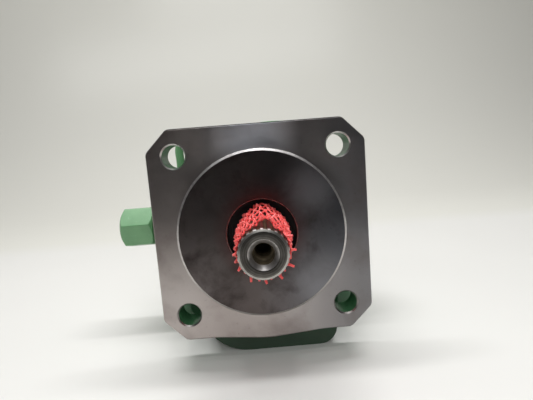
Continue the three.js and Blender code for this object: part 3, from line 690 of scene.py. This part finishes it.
def metal(name, dark, light, roughness, metallic=1.0):
    """A plain metal or rubber for the inner pieces, mottled and slightly scuffed."""
    finish = Finish(name)
    tone = finish.noise(5, detail=5, roughness=0.6)
    scuffs = finish.noise(1.2, detail=4, place=finish.stretched(1, 0.15, 1))
    finish.put(Base_Color=finish.shades(tone, dark, light), Metallic=metallic)
    finish.put(Roughness=finish.level(scuffs, roughness - 0.08, roughness + 0.1))
    finish.put(Normal=finish.bump(scuffs, 0.02, 0.5))
    return finish.material


def studio_white():
    """The pale surfaces round the motor: a white table top that turns warmer far behind it."""
    finish = Finish("studio_white")
    tone = finish.noise(400, detail=2)
    table = finish.shades(tone, (222, 221, 218), (227, 226, 223))
    beyond = finish.level(finish.height(1), 0.0, 1.0, 370, 450)
    finish.put(Base_Color=finish.tint(table, beyond, 222, 221, 214))
    finish.put(Roughness=0.3, Specular_IOR_Level=0.5)
    return finish.material


# painted shade: the castings take a darker copy of the fittings' green
SHADED_GREEN = shaded_green_paint()
FITTING = fitting_paint()
IRON = machined_iron()
PILOT = pilot_iron()
EDGE = bright_edge()
STEEL = turned_steel("shaft_steel", 8, (126, 124, 120), (176, 174, 170), 0.32, 0.012, (0.24, 0.42))
BORE_OIL_AND_GROOVE_SHADE = bore_steel()
SHAFT_FACE = turned_steel("shaft_end_steel", 5, (94, 91, 87), (128, 125, 120), 0.37, 0.02, (0.34, 0.48),
                          banded=True)
NET = net_plastic()
BRIGHT = metal("ground_steel", (168, 168, 170), (202, 202, 204), 0.28)
ALUMINIUM = metal("bearing_aluminium", (176, 178, 180), (206, 208, 210), 0.38)
BRONZE = metal("bush_bronze", (150, 108, 58), (190, 142, 82), 0.36)
COPPER = metal("seal_copper", (164, 92, 60), (204, 126, 90), 0.36)
RUBBER = metal("seal_rubber", (12, 12, 13), (24, 24, 25), 0.62, metallic=0.0)
BLACKENED = metal("blackened_steel", (10, 10, 10), (20, 19, 19), 0.55, metallic=0.0)
COLLAR_STEEL = metal("turned_collar", (150, 148, 143), (186, 183, 178), 0.36)
# painted shade: near-black for the seal bore and the upper bevel of the flange
PAINTED_SHADE_BLACK = metal("painted_shade_black", (7, 6, 6), (15, 12, 12), 0.7, metallic=0.0)


# ---------- castings

def hole_centres():
    """Centres of the flange's four bolt holes, in x and z."""
    return [(x, z) for x in (-BOLT_OFFSET, BOLT_OFFSET) for z in (-BOLT_OFFSET, BOLT_OFFSET)]


def tie_holes(start, end):
    """Cuts that let the four through bolts pass between two places along Y."""
    profile = bar(TIE_CLEARANCE, start, end)
    return [(CUT, turned(profile, along("Y", (x, 0, z)), 32)) for x, z in TIE_BOLTS]


def flange_neck():
    """The neck from the flange plate to the gear housing. Its foot starts narrower on the left than on
    the right and turns into the housing's outline. It flares out where it leaves the plate."""
    neck = Surface()
    flare = 8.0
    overlap = 1.0
    start = FLANGE_THICK - overlap
    length = flange_high.y - 0.4 - start
    rings = []
    front_outline = core_outline(flange_low.z, NECK_FOOT_CORNERS)
    back_outline = core_outline(flange_low.z)
    for i in range(17):
        y = start + length * i / 16
        widened = blend(25.0, 38.0, y)
        outline = [a.lerp(b, widened) for a, b in zip(front_outline, back_outline)]
        back_off = max(0.0, FLANGE_THICK + flare - y)
        spread = flare - math.sqrt(max(0.0, flare ** 2 - min(flare, back_off) ** 2))
        ring = []
        for point, outer in zip(outline, grown(outline, 1.0)):
            above_foot = min(1.0, max(0.0, (point.y + 62) / 12))
            moved = point + (outer - point) * spread * above_foot
            ring.append((moved.x, y, moved.y))
        rings.append(neck.ring(ring))
    rings.append(neck.ring([(p.x, flange_high.y, p.y) for p in grown(back_outline, -0.4)]))
    neck.stack(rings)
    bore = neck.turn([(SHAFT_BORE + 0.4, start), (SHAFT_BORE + 0.4, flange_high.y)], along("Y"), 72)
    neck.cap(rings[0], bore[0])
    neck.cap(rings[-1], bore[-1])
    return neck


def flange_casting():
    """Flange plate, pilot, neck and drain boss in one casting."""
    plate = Surface()
    edge = [(0.9, 0.0), (0.55, 0.08), (0.2, 0.32), (0.0, 0.8), (0.0, FLANGE_THICK - 2.0),
            (0.35, FLANGE_THICK - 0.8), (1.0, FLANGE_THICK - 0.2), (1.8, FLANGE_THICK)]
    pilot = fillet([
        (PILOT_RADIUS, 0.0), (PILOT_RADIUS, -PILOT_HEIGHT + 0.9, 0.2),
        (PILOT_RADIUS - PILOT_CHAMFER, -PILOT_HEIGHT, 0.2),
        (SEAL_BORE + 0.5, -PILOT_HEIGHT, 0.1), (SEAL_BORE, -PILOT_HEIGHT + 0.5, 0.1),
        (SEAL_BORE, SEAL_BORE_DEPTH), (SHAFT_BORE, SEAL_BORE_DEPTH), (SHAFT_BORE, FLANGE_THICK),
    ], 0.0, steps=2, closed=False)
    bolt_hole = [(BOLT_HOLE + BOLT_CHAMFER, 0.0), (BOLT_HOLE, BOLT_CHAMFER), (BOLT_HOLE, FLANGE_THICK - 1.0),
                 (BOLT_HOLE + 0.4, FLANGE_THICK)]
    holes = [((0, 0), [tuple(p) for p in pilot])] + [(centre, bolt_hole) for centre in hole_centres()]
    plate.plate(flange_outline(), edge, holes)

    drain = along("Z", (DRAIN_X, DRAIN_Y, 0))
    top = span("drain_washer_lower")[0].z - 0.3
    boss = [(0, 30), (10.8, 30), (10.8, top - 0.8), (10.55, top - 0.25), (10.0, top), (0, top)]
    steps = [(JOIN, flange_neck()), (JOIN, turned(boss, drain, 48))]
    scallop = bar(SPOT_FACE, FLANGE_THICK - 0.5, 42)
    steps += [(CUT, turned(scallop, along("Y", (x, 0, z)), 56)) for x, z in hole_centres()]
    steps.append((CUT, turned(bar(DRAIN_HOLE, 32, top + 1), drain, 40)))
    steps += tie_holes(20, 42)

    def finish_at(centre):
        radius = math.hypot(centre.x, centre.z)
        if centre.y < FLANGE_THICK and radius < SEAL_BORE + 0.2:
            # painted shade: the seal bore wall is near-black
            return PAINTED_SHADE_BLACK if centre.y > 0.6 - PILOT_HEIGHT else IRON
        near_hole = min(math.hypot(centre.x - x, centre.z - z) for x, z in hole_centres())
        if near_hole < BOLT_HOLE + BOLT_CHAMFER - 0.02 and centre.y < BOLT_CHAMFER:
            return EDGE
        if near_hole < BOLT_HOLE + 0.1:
            return SHADED_GREEN
        if radius < PILOT_RADIUS + 0.1 and centre.y < -0.1:
            on_face = centre.y < -PILOT_HEIGHT + 0.05 and radius < PILOT_RADIUS - PILOT_CHAMFER + 0.2
            return PILOT if on_face else EDGE
        if 0.1 < centre.y < 1.0 and centre.z > 60:
            return PAINTED_SHADE_BLACK  # painted shade: the bevel of the upper edge takes the near-black finish, so it shows no shine
        return IRON if centre.y < 0.6 else SHADED_GREEN

    piece("flange_casting", shaped("flange_casting", plate, steps), ["front_flange"],
          [SHADED_GREEN, IRON, PILOT, EDGE, PAINTED_SHADE_BLACK], finish_at=finish_at)


def housing_casting():
    """Gear housing: the core with its foot, and a port boss on each side."""
    core = Surface()
    front, back = housing_low.y, housing_high.y
    edge = [(0.6, front), (0.15, front + 0.2), (0.0, front + 0.7)]
    edge += [(inset, front + back - y) for inset, y in reversed(edge)]
    core.plate(core_outline(housing_low.z), edge)
    bosses = Surface()
    rounding = 4.0
    edge = [(rounding * (1 - math.sin(a)), BOSS_FRONT + rounding * (1 - math.cos(a))) for a in quarter(6)]
    edge += [(inset, BOSS_FRONT + BOSS_BACK - y) for inset, y in reversed(edge)]
    bosses.plate(rounded_box(-BOSS_HALF, BOSS_HALF, BOSS_FOOT, BOSS_TOP, (9, 9), 9), edge)
    steps = [(JOIN, bosses)]
    for z in (0, IDLER_Z):
        pocket = turned(bar(GEAR_POCKET, front - 1, back + 1), along("Y", (0, 0, z)), 96)
        steps.append((CUT, pocket))
    for side in (-1, 1):
        port = [(0, 20), (8, 20), (8, 49), (PORT_BORE, 49), (PORT_BORE, BOSS_HALF - 0.8),
                (PORT_BORE + 0.8, BOSS_HALF), (PORT_BORE + 0.8, BOSS_HALF + 1), (0, BOSS_HALF + 1)]
        outward = [(radius, side * distance) for radius, distance in port]
        steps.append((CUT, turned(outward, along("X", (0, GEAR_MID, PORT_Z)), 48)))
    steps += tie_holes(front - 1, back + 1)
    nipple_well = turned(bar(5.3, 9, BOSS_TOP + 1), along("Z", (PIPE_X, PIPE_Y, 0)), 32)
    steps.append((CUT, nipple_well))
    mesh = shaped("housing_casting", core, steps)
    piece("housing_casting", mesh, ["gear_housing"], [SHADED_GREEN])


def cover_casting():
    """Rear cover: a stepped block, rounded at the step and at its rear edge."""
    cover = Surface()
    front, back = cover_low.y, cover_high.y
    step = front + 17
    inset = 5.0
    profile = fillet([
        (0.5, front), (0.0, front + 0.6, 0.3), (0.0, step, 2.4), (inset, step, 1.6), (inset, back, 2.6),
        (inset + 4.0, back),
    ], 0.0, steps=5, closed=False)
    cover.plate(core_outline(cover_low.z), [tuple(p) for p in profile])
    mesh = shaped("cover_casting", cover, tie_holes(front - 1, back + 1))
    piece("cover_casting", mesh, ["rear_cover"], [SHADED_GREEN])


# ---------- fasteners and fittings

def fitting(name, node, surface, steps=(), bevel=0.0):
    """A painted steel piece that stands for one CAD node."""
    mesh = shaped(name, surface, steps) if steps else surface.to_mesh(name)
    piece(name, mesh, [node], [FITTING], bevel=bevel)


def tie_bolts():
    """Four bolts through all three castings, each head stopped at its own angle, and their washers."""
    for number, (x, z) in enumerate(TIE_BOLTS, 1):
        low, high = span(f"through_bolt_{number}")
        washer_low, washer_high = span(f"bolt_washer_{number}")
        head_front = washer_high.y + 0.3
        bolt = Surface()
        place = along("Y", (x, 0, z))
        bolt.hexagon(16, head_front, high.y, place, 8.6, 7.4, spin=math.pi / 6 + number * 0.35)
        shank = [(0, low.y), (TIE_SHANK - 1, low.y), (TIE_SHANK, low.y + 1), (TIE_SHANK, head_front + 1),
                 (0, head_front + 1)]
        steps = [(JOIN, turned(shank, place, 32))]
        fitting(f"tie_bolt_{number}", f"through_bolt_{number}", bolt, steps, bevel=0.3)
        front, back = washer_low.y, washer_high.y
        section = [(5.5, front, 0.1), (9.9, front, 0.4), (9.9, back, 0.6), (5.5, back, 0.1)]
        section = fillet(section, 0, steps=3)
        fitting(f"tie_washer_{number}", f"bolt_washer_{number}", turned(section, place, 48, closed=True))


def groove_profile(radius, start, end, pitch, depth):
    """The wall of a threaded rod or hole, as rings of a saw profile. A negative depth cuts outward."""
    steps = max(2, int(abs(end - start) / pitch))
    points = []
    for i in range(steps):
        here = start + (end - start) * i / steps
        there = start + (end - start) * (i + 0.5) / steps
        points.extend([(radius, here), (radius - depth, there)])
    points.append((radius, end))
    return points


def left_port():
    """Adapter in the left port, and the blanking nut screwed onto it."""
    low, high = span("left_port_adapter")
    nut_low, nut_high = span("left_cap_nut")
    nut_high.x += NUT_REACH
    place = along("X", (0, GEAR_MID, PORT_Z))
    hex_inner = -BOSS_HALF - 2.1
    hex_outer = hex_inner - 12
    adapter = Surface()
    adapter.hexagon(27, hex_outer, hex_inner, place, 13.4, 13.4)
    stud = turned([
        (6, low.x), (9, low.x), *groove_profile(10, low.x + 1, nut_high.x + 3, 1.5, 0.8),
        (8.6, nut_high.x + 4), (8.6, hex_outer + 1), (10, hex_outer + 2), (10, hex_inner + 0.5),
        (9.6, hex_inner + 1), *groove_profile(11, hex_inner + 3, high.x - 1, 1.5, 0.8), (9.8, high.x),
        (6, high.x),
    ], place, 64, closed=True)
    bore = turned(bar(6, low.x - 1, high.x + 1), place, 64)
    fitting("port_adapter", "left_port_adapter", adapter, [(JOIN, stud), (CUT, bore)], 0.25)

    nut = Surface()
    well = [(11.6, nut_high.x), (10.4, nut_high.x - 1.2), (10.4, low.x - 0.6), (0, low.x - 3.0)]
    nut.hexagon(29, nut_low.x, nut_high.x, place, 13.0, 14.0, bore=well, slope=0.7, spin=NUT_SPIN)
    fitting("cap_nut", "left_cap_nut", nut, bevel=0.45)


def right_port():
    """Plug that closes the right port."""
    low, high = span("right_port_plug")
    place = along("X", (0, GEAR_MID, PORT_Z))
    hex_inner = high.x - 11
    plug = Surface()
    plug.hexagon(28, hex_inner, high.x, place, 14.0, 13.2)
    stud = turned([(0, low.x), (10, low.x), *groove_profile(11, low.x + 1, hex_inner - 2, 1.5, 0.8),
                   (9.8, hex_inner - 1), (9.8, hex_inner + 1), (0, hex_inner + 1)], place, 64)
    socket = turned([(0, high.x - 5), (5.2, high.x - 5), (6.0, high.x + 1), (0, high.x + 1)], place, 6)
    fitting("port_plug", "right_port_plug", plug, [(JOIN, stud), (CUT, socket)], 0.3)


def sealing_washers():
    """Copper washers under both port fittings, and below and above the banjo eye."""
    port = along("X", (0, GEAR_MID, PORT_Z))
    drain = along("Z", (DRAIN_X, DRAIN_Y, 0))
    for node, name, place, axis, hole, rim, segments in (
        ("left_port_seal", "port_washer_left", port, 0, PORT_BORE, 15, 56),
        ("right_port_seal", "port_washer_right", port, 0, PORT_BORE, 15, 56),
        ("drain_washer_lower", "banjo_washer_lower", drain, 2, DRAIN_HOLE, 9, 48),
        ("drain_washer_upper", "banjo_washer_upper", drain, 2, DRAIN_HOLE, 9, 48),
    ):
        low, high = [corner[axis] for corner in span(node)]
        section = fillet([(hole, low), (rim, low), (rim, high), (hole, high)], 0.4, steps=3)
        washer = turned(section, place, segments, closed=True)
        piece(name, washer.to_mesh(name), [node], [COPPER])


def smooth_path(points, steps):
    """A curve through the points, sampled evenly between each two of them."""
    path = []
    ends = [points[0] * 2 - points[1], *points, points[-1] * 2 - points[-2]]
    for a, b, c, d in zip(ends, ends[1:], ends[2:], ends[3:]):
        for i in range(steps):
            t = i / steps
            path.append(0.5 * (2 * b + (c - a) * t + (2 * a - 5 * b + 4 * c - d) * t ** 2
                               + (3 * b - a - 3 * c + d) * t ** 3))
    path.append(points[-1])
    return path


def drain_line():
    """Banjo on the flange casting, bent steel pipe, and its screwed joint on the left port boss."""
    bolt_low, bolt_high = span("drain_banjo_bolt")
    foot = span("drain_washer_lower")[1].z + 0.3
    washer_low, washer_high = span("drain_washer_upper")
    top = washer_low.z - 0.3
    place = along("Z", (DRAIN_X, DRAIN_Y, 0))
    bolt = Surface()
    bolt.hexagon(19, washer_high.z + 0.3, bolt_high.z, place, 10.4, 8.8)
    shank = turned(bar(6, bolt_low.z, washer_high.z + 1), place, 40)
    fitting("banjo_bolt", "drain_banjo_bolt", bolt, [(JOIN, shank)], 0.3)

    heading = Vector((-0.8, 0.6, 0))
    centre = Vector((DRAIN_X, DRAIN_Y, (foot + top) / 2))
    section = fillet([(DRAIN_HOLE, foot), (10, foot), (10, top), (DRAIN_HOLE, top)], 1.0, steps=4)
    stub = Surface()
    stub.tube([centre + heading * d for d in (7.5, 10, 16, 20.4, 20.85, 21)],
              lambda share: 4.8 if share < 0.75 else (4.4 if share < 0.9 else 4.0), 28)
    fitting("banjo_eye", "drain_banjo_eye", turned(section, place, 56, closed=True), [(JOIN, stub)], 0.4)

    low, high = span("drain_nipple")
    start = centre + heading * 21.3
    bend = [(-20, 51, 59.5), (-34, 58.5, 64), (-46, 60, 65), (-53.8, 60, 62.8), (PIPE_X, PIPE_Y, 56),
            (PIPE_X, PIPE_Y, 46), (PIPE_X, PIPE_Y, high.z + 0.3)]
    route = [start, start + heading * 6, *[Vector(point) for point in bend]]
    pipe = Surface()
    pipe.tube(smooth_path(route, 10), 3.1, 24)
    fitting("drain_pipe", "drain_tube", pipe)

    place = along("Z", (PIPE_X, PIPE_Y, 0))
    section = fillet([(2, low.z, 0.1), (5, low.z, 0.5), (5, 22.3, 0), (8, 22.3, 0.5), (8, 26, 0.5),
                      (5, 26, 0), (5, high.z, 0.5), (2, high.z, 0.1)], 0, steps=3)
    fitting("pipe_nipple", "drain_nipple", turned(section, place, 48, closed=True))
    nut_low, nut_high = span("drain_tube_nut")
    bore = [(3.5, nut_high.z), (3.5, high.z + 1.8), (5.3, high.z + 0.3), (5.3, nut_low.z)]
    nut = Surface()
    nut.hexagon(14, nut_low.z, nut_high.z, place, 7.4, 6.4, bore=bore, slope=1.0)
    fitting("pipe_nut", "drain_tube_nut", nut, bevel=0.25)


# ---------- output shaft

def gear_radius(angle):
    """Radius of the drive gear's involute outline. A tooth points straight down."""
    pitch = GEAR_TEETH * GEAR_MODULE / 2
    tip = pitch + GEAR_MODULE
    root = pitch - 1.2 * GEAR_MODULE
    pressure = math.radians(25)
    base = pitch * math.cos(pressure)
    half_tooth = (math.pi * GEAR_MODULE / 2 - 0.5) / (2 * pitch)
    step = FULL / GEAR_TEETH
    offset = abs((angle + math.pi / 2 + step / 2) % step - step / 2)

    def flank(radius):
        roll = math.acos(min(1.0, base / radius))
        return half_tooth + math.tan(pressure) - pressure - math.tan(roll) + roll

    if offset <= flank(tip):
        return tip
    if offset >= flank(base):
        return max(root, base - (offset - flank(base)) * 40)
    low, high = base, tip
    for _ in range(20):
        middle = (low + high) / 2
        if flank(middle) > offset:
            low = middle
        else:
            high = middle
    return low


def drive_shaft():
    """Output shaft: splined end with its centre hole, seal journal, drive gear and bearing journals."""
    points = 432
    angles = [FULL * (i + 0.5) / points for i in range(points)]
    shaft = Surface()

    def ring(y, radius_at):
        return shaft.ring([(radius_at(a) * math.cos(a), y, radius_at(a) * math.sin(a)) for a in angles])

    def round_ring(y, radius):
        return ring(y, lambda angle: radius)

    def gear_ring(y, inset=0.0):
        return ring(y, lambda angle: gear_radius(angle) - inset)

    def off_tooth(angle):
        """Distance from the middle of the nearest tooth, as a share of the pitch."""
        return abs(((angle - math.pi / 2) * SPLINE_TEETH / FULL + 0.5) % 1.0 - 0.5)

    def spline_ring(y, limit=math.inf, fade=0.0):
        """A toothed ring, cut down to the limit. The grooves fade out as fade goes from 0 to 1."""
        root = SPLINE_ROOT + (SHAFT_RADIUS - SPLINE_ROOT) * fade

        def radius_at(angle):
            tooth = root + (SPLINE_TIP - root) * (1 - blend(0.2, 0.33, off_tooth(angle)))
            return min(tooth, limit)
        return ring(y, radius_at)

    tip = SHAFT_TIP
    thread = groove_profile(CENTRE_THREAD, tip + 25, tip + 9.6, 1.5, -0.7)
    rings = [round_ring(y, radius) for radius, y in [
        (1.0, tip + 28.4), (CENTRE_THREAD, tip + 26), *thread, (CENTRE_BORE, tip + 9),
        (CENTRE_BORE, tip + 2.6), (CENTRE_BORE + 0.15, tip + 2.3), (CENTRE_MOUTH - 0.15, tip + 0.2),
        (CENTRE_MOUTH, tip + 0.05), (CENTRE_MOUTH + 0.15, tip), (9.6, tip), (COLLAR_FACE, tip),
        (COLLAR_FACE + 0.12, tip + 0.05), (COLLAR_RADIUS, tip + COLLAR_LENGTH),
    ]]
    shaft.cap(rings[0])
    rings.append(spline_ring(tip + COLLAR_LENGTH + 0.05, COLLAR_RADIUS + 0.02))
    rings.append(spline_ring(tip + CONE_LENGTH, SPLINE_TIP - 0.05))
    runout = SPLINE_BACK - SPLINE_RUNOUT
    rings += [spline_ring(y) for y in (tip + CONE_LENGTH + 0.2, tip + 12, tip + 24, runout)]
    for i in range(1, 8):
        share = i / 8
        rings.append(spline_ring(runout + SPLINE_RUNOUT * share, fade=share ** 2))
    gear_front = GEAR_MID - GEAR_WIDTH / 2
    gear_back = GEAR_MID + GEAR_WIDTH / 2
    step = flange_high.y - 2
    rings += [
        round_ring(SPLINE_BACK, SHAFT_RADIUS), round_ring(step - 1, SHAFT_RADIUS), round_ring(step, JOURNAL),
        round_ring(gear_front, JOURNAL), gear_ring(gear_front, GEAR_CHAMFER),
        gear_ring(gear_front + GEAR_CHAMFER), gear_ring(gear_back - GEAR_CHAMFER),
        gear_ring(gear_back, GEAR_CHAMFER), round_ring(gear_back, JOURNAL),
        round_ring(shaft_high.y - 1, JOURNAL), round_ring(shaft_high.y, JOURNAL - 1),
    ]
    shaft.cap(rings[-1])
    shaft.stack(rings)

    def finish_at(centre):
        radius = math.hypot(centre.x, centre.z)
        if radius < CENTRE_BORE + 0.1:
            return BORE_OIL_AND_GROOVE_SHADE
        if centre.y < tip + 0.06 and CENTRE_MOUTH < radius < COLLAR_FACE:
            return SHAFT_FACE
        in_groove = off_tooth(math.atan2(centre.z, centre.x)) > 0.25
        behind_collar = tip + COLLAR_LENGTH + 0.02 < centre.y < SPLINE_BACK and radius > COLLAR_FACE
        # painted shade: the grooves between the teeth take the dark bore finish
        if in_groove and behind_collar:
            return BORE_OIL_AND_GROOVE_SHADE
        if centre.y < tip + COLLAR_LENGTH and radius > COLLAR_FACE:
            return COLLAR_STEEL
        return EDGE if centre.y < tip + CONE_LENGTH + 1.0 else STEEL

    piece("spline_shaft", shaft.to_mesh("spline_shaft"), ["drive_gear_shaft"],
          [STEEL, BORE_OIL_AND_GROOVE_SHADE, SHAFT_FACE, EDGE, COLLAR_STEEL], body="drive_shaft", finish_at=finish_at, sharp=28)


# ---------- net sleeve

def net_sleeve():
    """Diamond netting drawn over the splines. Two families of strands cross, some crossings standing
    higher than others, and every second strand ends in a spike at the cut end."""
    random.seed(11)
    around = 24
    rows = 8
    steps = rows * 9
    snug_radius = 13.2
    strand_radius = 0.56
    front, back = net_low.y + 4.5, net_high.y
    net = Surface()

    def place(share, angle, lift):
        """A point of the sleeve: share 0 at the cut end and 1 at the back. The sleeve widens towards
        the back, where it has a ridge on top, and arches up over the shaft at the cut end."""
        across, up = math.cos(angle), math.sin(angle)
        widening = 1.6 * blend(0.0, 0.6, share)
        ridge = 2.5 * blend(0.3, 1.0, share) * max(0.0, up) ** 12
        arch = 2.8 * blend(0.95, 1.0, math.cos(angle - 1.42)) * (1 - blend(0.05, 0.4, share))
        wave = noise.noise(Vector((across * 1.9, up * 1.9, share * 6 + 3))) * 0.6 * blend(0.0, 0.35, share)
        radius = snug_radius + widening + ridge + arch + lift + wave
        shift = 1.2 * noise.noise(Vector((across * 1.4, up * 1.4, share * 4 + 9)))
        swept = angle + 0.07 * noise.noise(Vector((across * 2.2, up * 2.2, share * 9)))
        sideways = 0.7 * blend(0.2, 1.0, share)
        y = front + (back - front) * share + shift
        return Vector((radius * math.cos(swept) + sideways, y, radius * math.sin(swept)))

    lifts = {}
    for family in (-1, 1):
        for strand in range(around):
            path = []
            for i in range(steps + 1):
                share = i / steps
                travel = share * rows
                knot = math.cos(travel * math.pi) ** 2
                crossing = (round(travel), (2 * strand + family * round(travel)) % (2 * around))
                lift = lifts.setdefault(crossing, random.uniform(0.1, 1.4))
                angle = FULL * strand / around + family * math.pi / around * travel
                path.append(place(share, angle, lift * knot ** 4 + 0.25 * family * (1 - knot)))
            net.tube(path, strand_radius, 7)
    for strand in range(0, around, 2):
        angle = FULL * strand / around
        root = place(0, angle, 0.6)
        outward = Vector((math.cos(angle), 0, math.sin(angle)))
        length = random.uniform(1.3, 2.1)
        lean = outward + Vector((random.uniform(0.25, 0.55), -0.3, random.uniform(-0.3, 0.0)))
        tip = root + lean * length
        spike = [root - outward * 0.5, root + outward * 0.1, root + lean * length * 0.6, tip]
        net.tube(smooth_path(spike, 3), lambda share: 0.75 - 0.2 * share, 8)
    piece("net_guard", net.to_mesh("net_guard"), ["shaft_net_sleeve"], [NET],
          body="drive_shaft")


# ---------- carried-over pieces

def inner_pieces():
    """Pieces inside the motor keep their CAD shapes and take a finish."""
    plain = {
        "dowel_pin": BRIGHT, "seal_circlip": BLACKENED, "idler_gear_shaft": BRIGHT,
        "bearing_block": ALUMINIUM, "bush": BRONZE, "balance_seal": RUBBER, "body_seal": RUBBER,
        "shaft_seal": RUBBER,
    }
    for node, shown in frame["nodes"].items():
        for part, finish in plain.items():
            if part in node:
                shown.data.materials.clear()
                shown.data.materials.append(finish)


# ---------- studio

def staged(name, surface, material):
    """A bmesh as a piece of the studio, which is no part of the motor."""
    mesh = bpy.data.meshes.new(name)
    surface.to_mesh(mesh)
    surface.free()
    mesh.materials.append(material)
    shown = placed(name, mesh)
    return shown


def studio():
    """A pale sweep: a level floor that curves up into a wall far behind the motor. Sizes are in metres."""
    sweep = bmesh.new()
    reach, rise, curve, wall = 2.4, 2.2, 0.9, 1.5
    profile = [(-reach, 0.0), (0.0, 0.0), (wall - curve, 0.0)]
    profile += [(wall - curve + curve * math.sin(a), curve * (1 - math.cos(a))) for a in quarter(16)[1:]]
    profile.append((wall, rise))
    rows = [[sweep.verts.new((x, y, z)) for y, z in profile] for x in (-reach, reach)]
    for i in range(len(profile) - 1):
        sweep.faces.new((rows[0][i], rows[1][i], rows[1][i + 1], rows[0][i + 1])).smooth = True
    staged("studio_sweep", sweep, studio_white())


def dark_flag():
    """A dark cloth behind the camera, so that upright bare metal mirrors a dim room. Only reflections
    see it."""
    cloth = bmesh.new()
    half_width, low, high, distance = 2.2, 0.002, 2.0, 0.36
    corners = [(-half_width, low), (half_width, low), (half_width, high), (-half_width, high)]
    cloth.faces.new([cloth.verts.new((x, -distance, z)) for x, z in corners])
    bmesh.ops.subdivide_edges(cloth, edges=cloth.edges, cuts=3, use_grid_fill=True)
    finish = Finish("flag_cloth")
    finish.put(Base_Color=finish.shades(finish.noise(300), (48, 48, 52), (63, 62, 63)), Roughness=0.95)
    flag = staged("dark_flag", cloth, finish.material)
    flag.visible_camera = False
    flag.visible_diffuse = False
    flag.visible_shadow = False


def area_light(name, place, target, size, power):
    """A rectangular lamp aimed at the target. Places and sizes are in metres of the frame."""
    data = bpy.data.lights.new(name, "AREA")
    data.shape = "RECTANGLE"
    data.size, data.size_y = size
    data.energy = power
    lamp = placed(name, data)
    lamp.location = place
    lamp.rotation_euler = (Vector(target) - Vector(place)).to_track_quat("-Z", "Y").to_euler()
    return lamp


def lighting():
    """A long ceiling tube overhead gives the shadow under the motor and the shine on its edges, and a
    weaker one hangs in front. A soft fill in front stays out of reflections, a small lamp gives the
    glint in the centre hole, and the last one washes the wall."""
    area_light("ceiling_tube", (0.0, 0.06, 1.5), (0, 0.0, 0), (1.6, 0.1), 18.5)
    area_light("front_tube", (0.0, -0.92, 1.4), (0, -0.05, 0), (1.0, 0.1), 3)
    fill = area_light("front_fill", (0, -1.1, 0.8), (0, -0.08, 0.08), (1.4, 0.5), 5.5)
    fill.visible_glossy = False
    area_light("spark", (0.02, -0.44, 1.1), (0, -0.13, 0.08), (0.08, 0.08), 0.6)
    area_light("wall_wash", (-0.4, 0.5, 1.9), (-0.3, 1.5, 0.6), (2.4, 0.5), 8)
    world = bpy.data.worlds.new("room")
    world.use_nodes = True
    world.node_tree.nodes["Background"].inputs["Color"].default_value = (0.2, 0.2, 0.196, 1)
    bpy.context.scene.world = world
    bpy.context.scene.view_settings.view_transform = "Standard"


def camera():
    """Close to the shaft end, a little above it, looking slightly down and turned clockwise."""
    pitch, yaw, roll = math.radians(6.85), math.radians(0.881), math.radians(4.442)
    data = bpy.data.cameras.new("camera")
    data.lens = 25.0
    data.sensor_width = 36.0
    data.clip_start = 0.01
    lens = placed("camera", data)
    level = Matrix.Rotation(math.pi / 2 - pitch, 4, "X")
    turn = Matrix.Rotation(-yaw, 4, "Z") @ level @ Matrix.Rotation(-roll, 4, "Z")
    standpoint = ORIGIN + Vector((0.76, -223.55, 46.18)) * MM
    lens.matrix_world = Matrix.Translation(standpoint) @ turn
    bpy.context.scene.camera = lens


camera()
flange_casting()
housing_casting()
cover_casting()
tie_bolts()
left_port()
right_port()
sealing_washers()
drain_line()
drive_shaft()
net_sleeve()
inner_pieces()
studio()
dark_flag()
lighting()
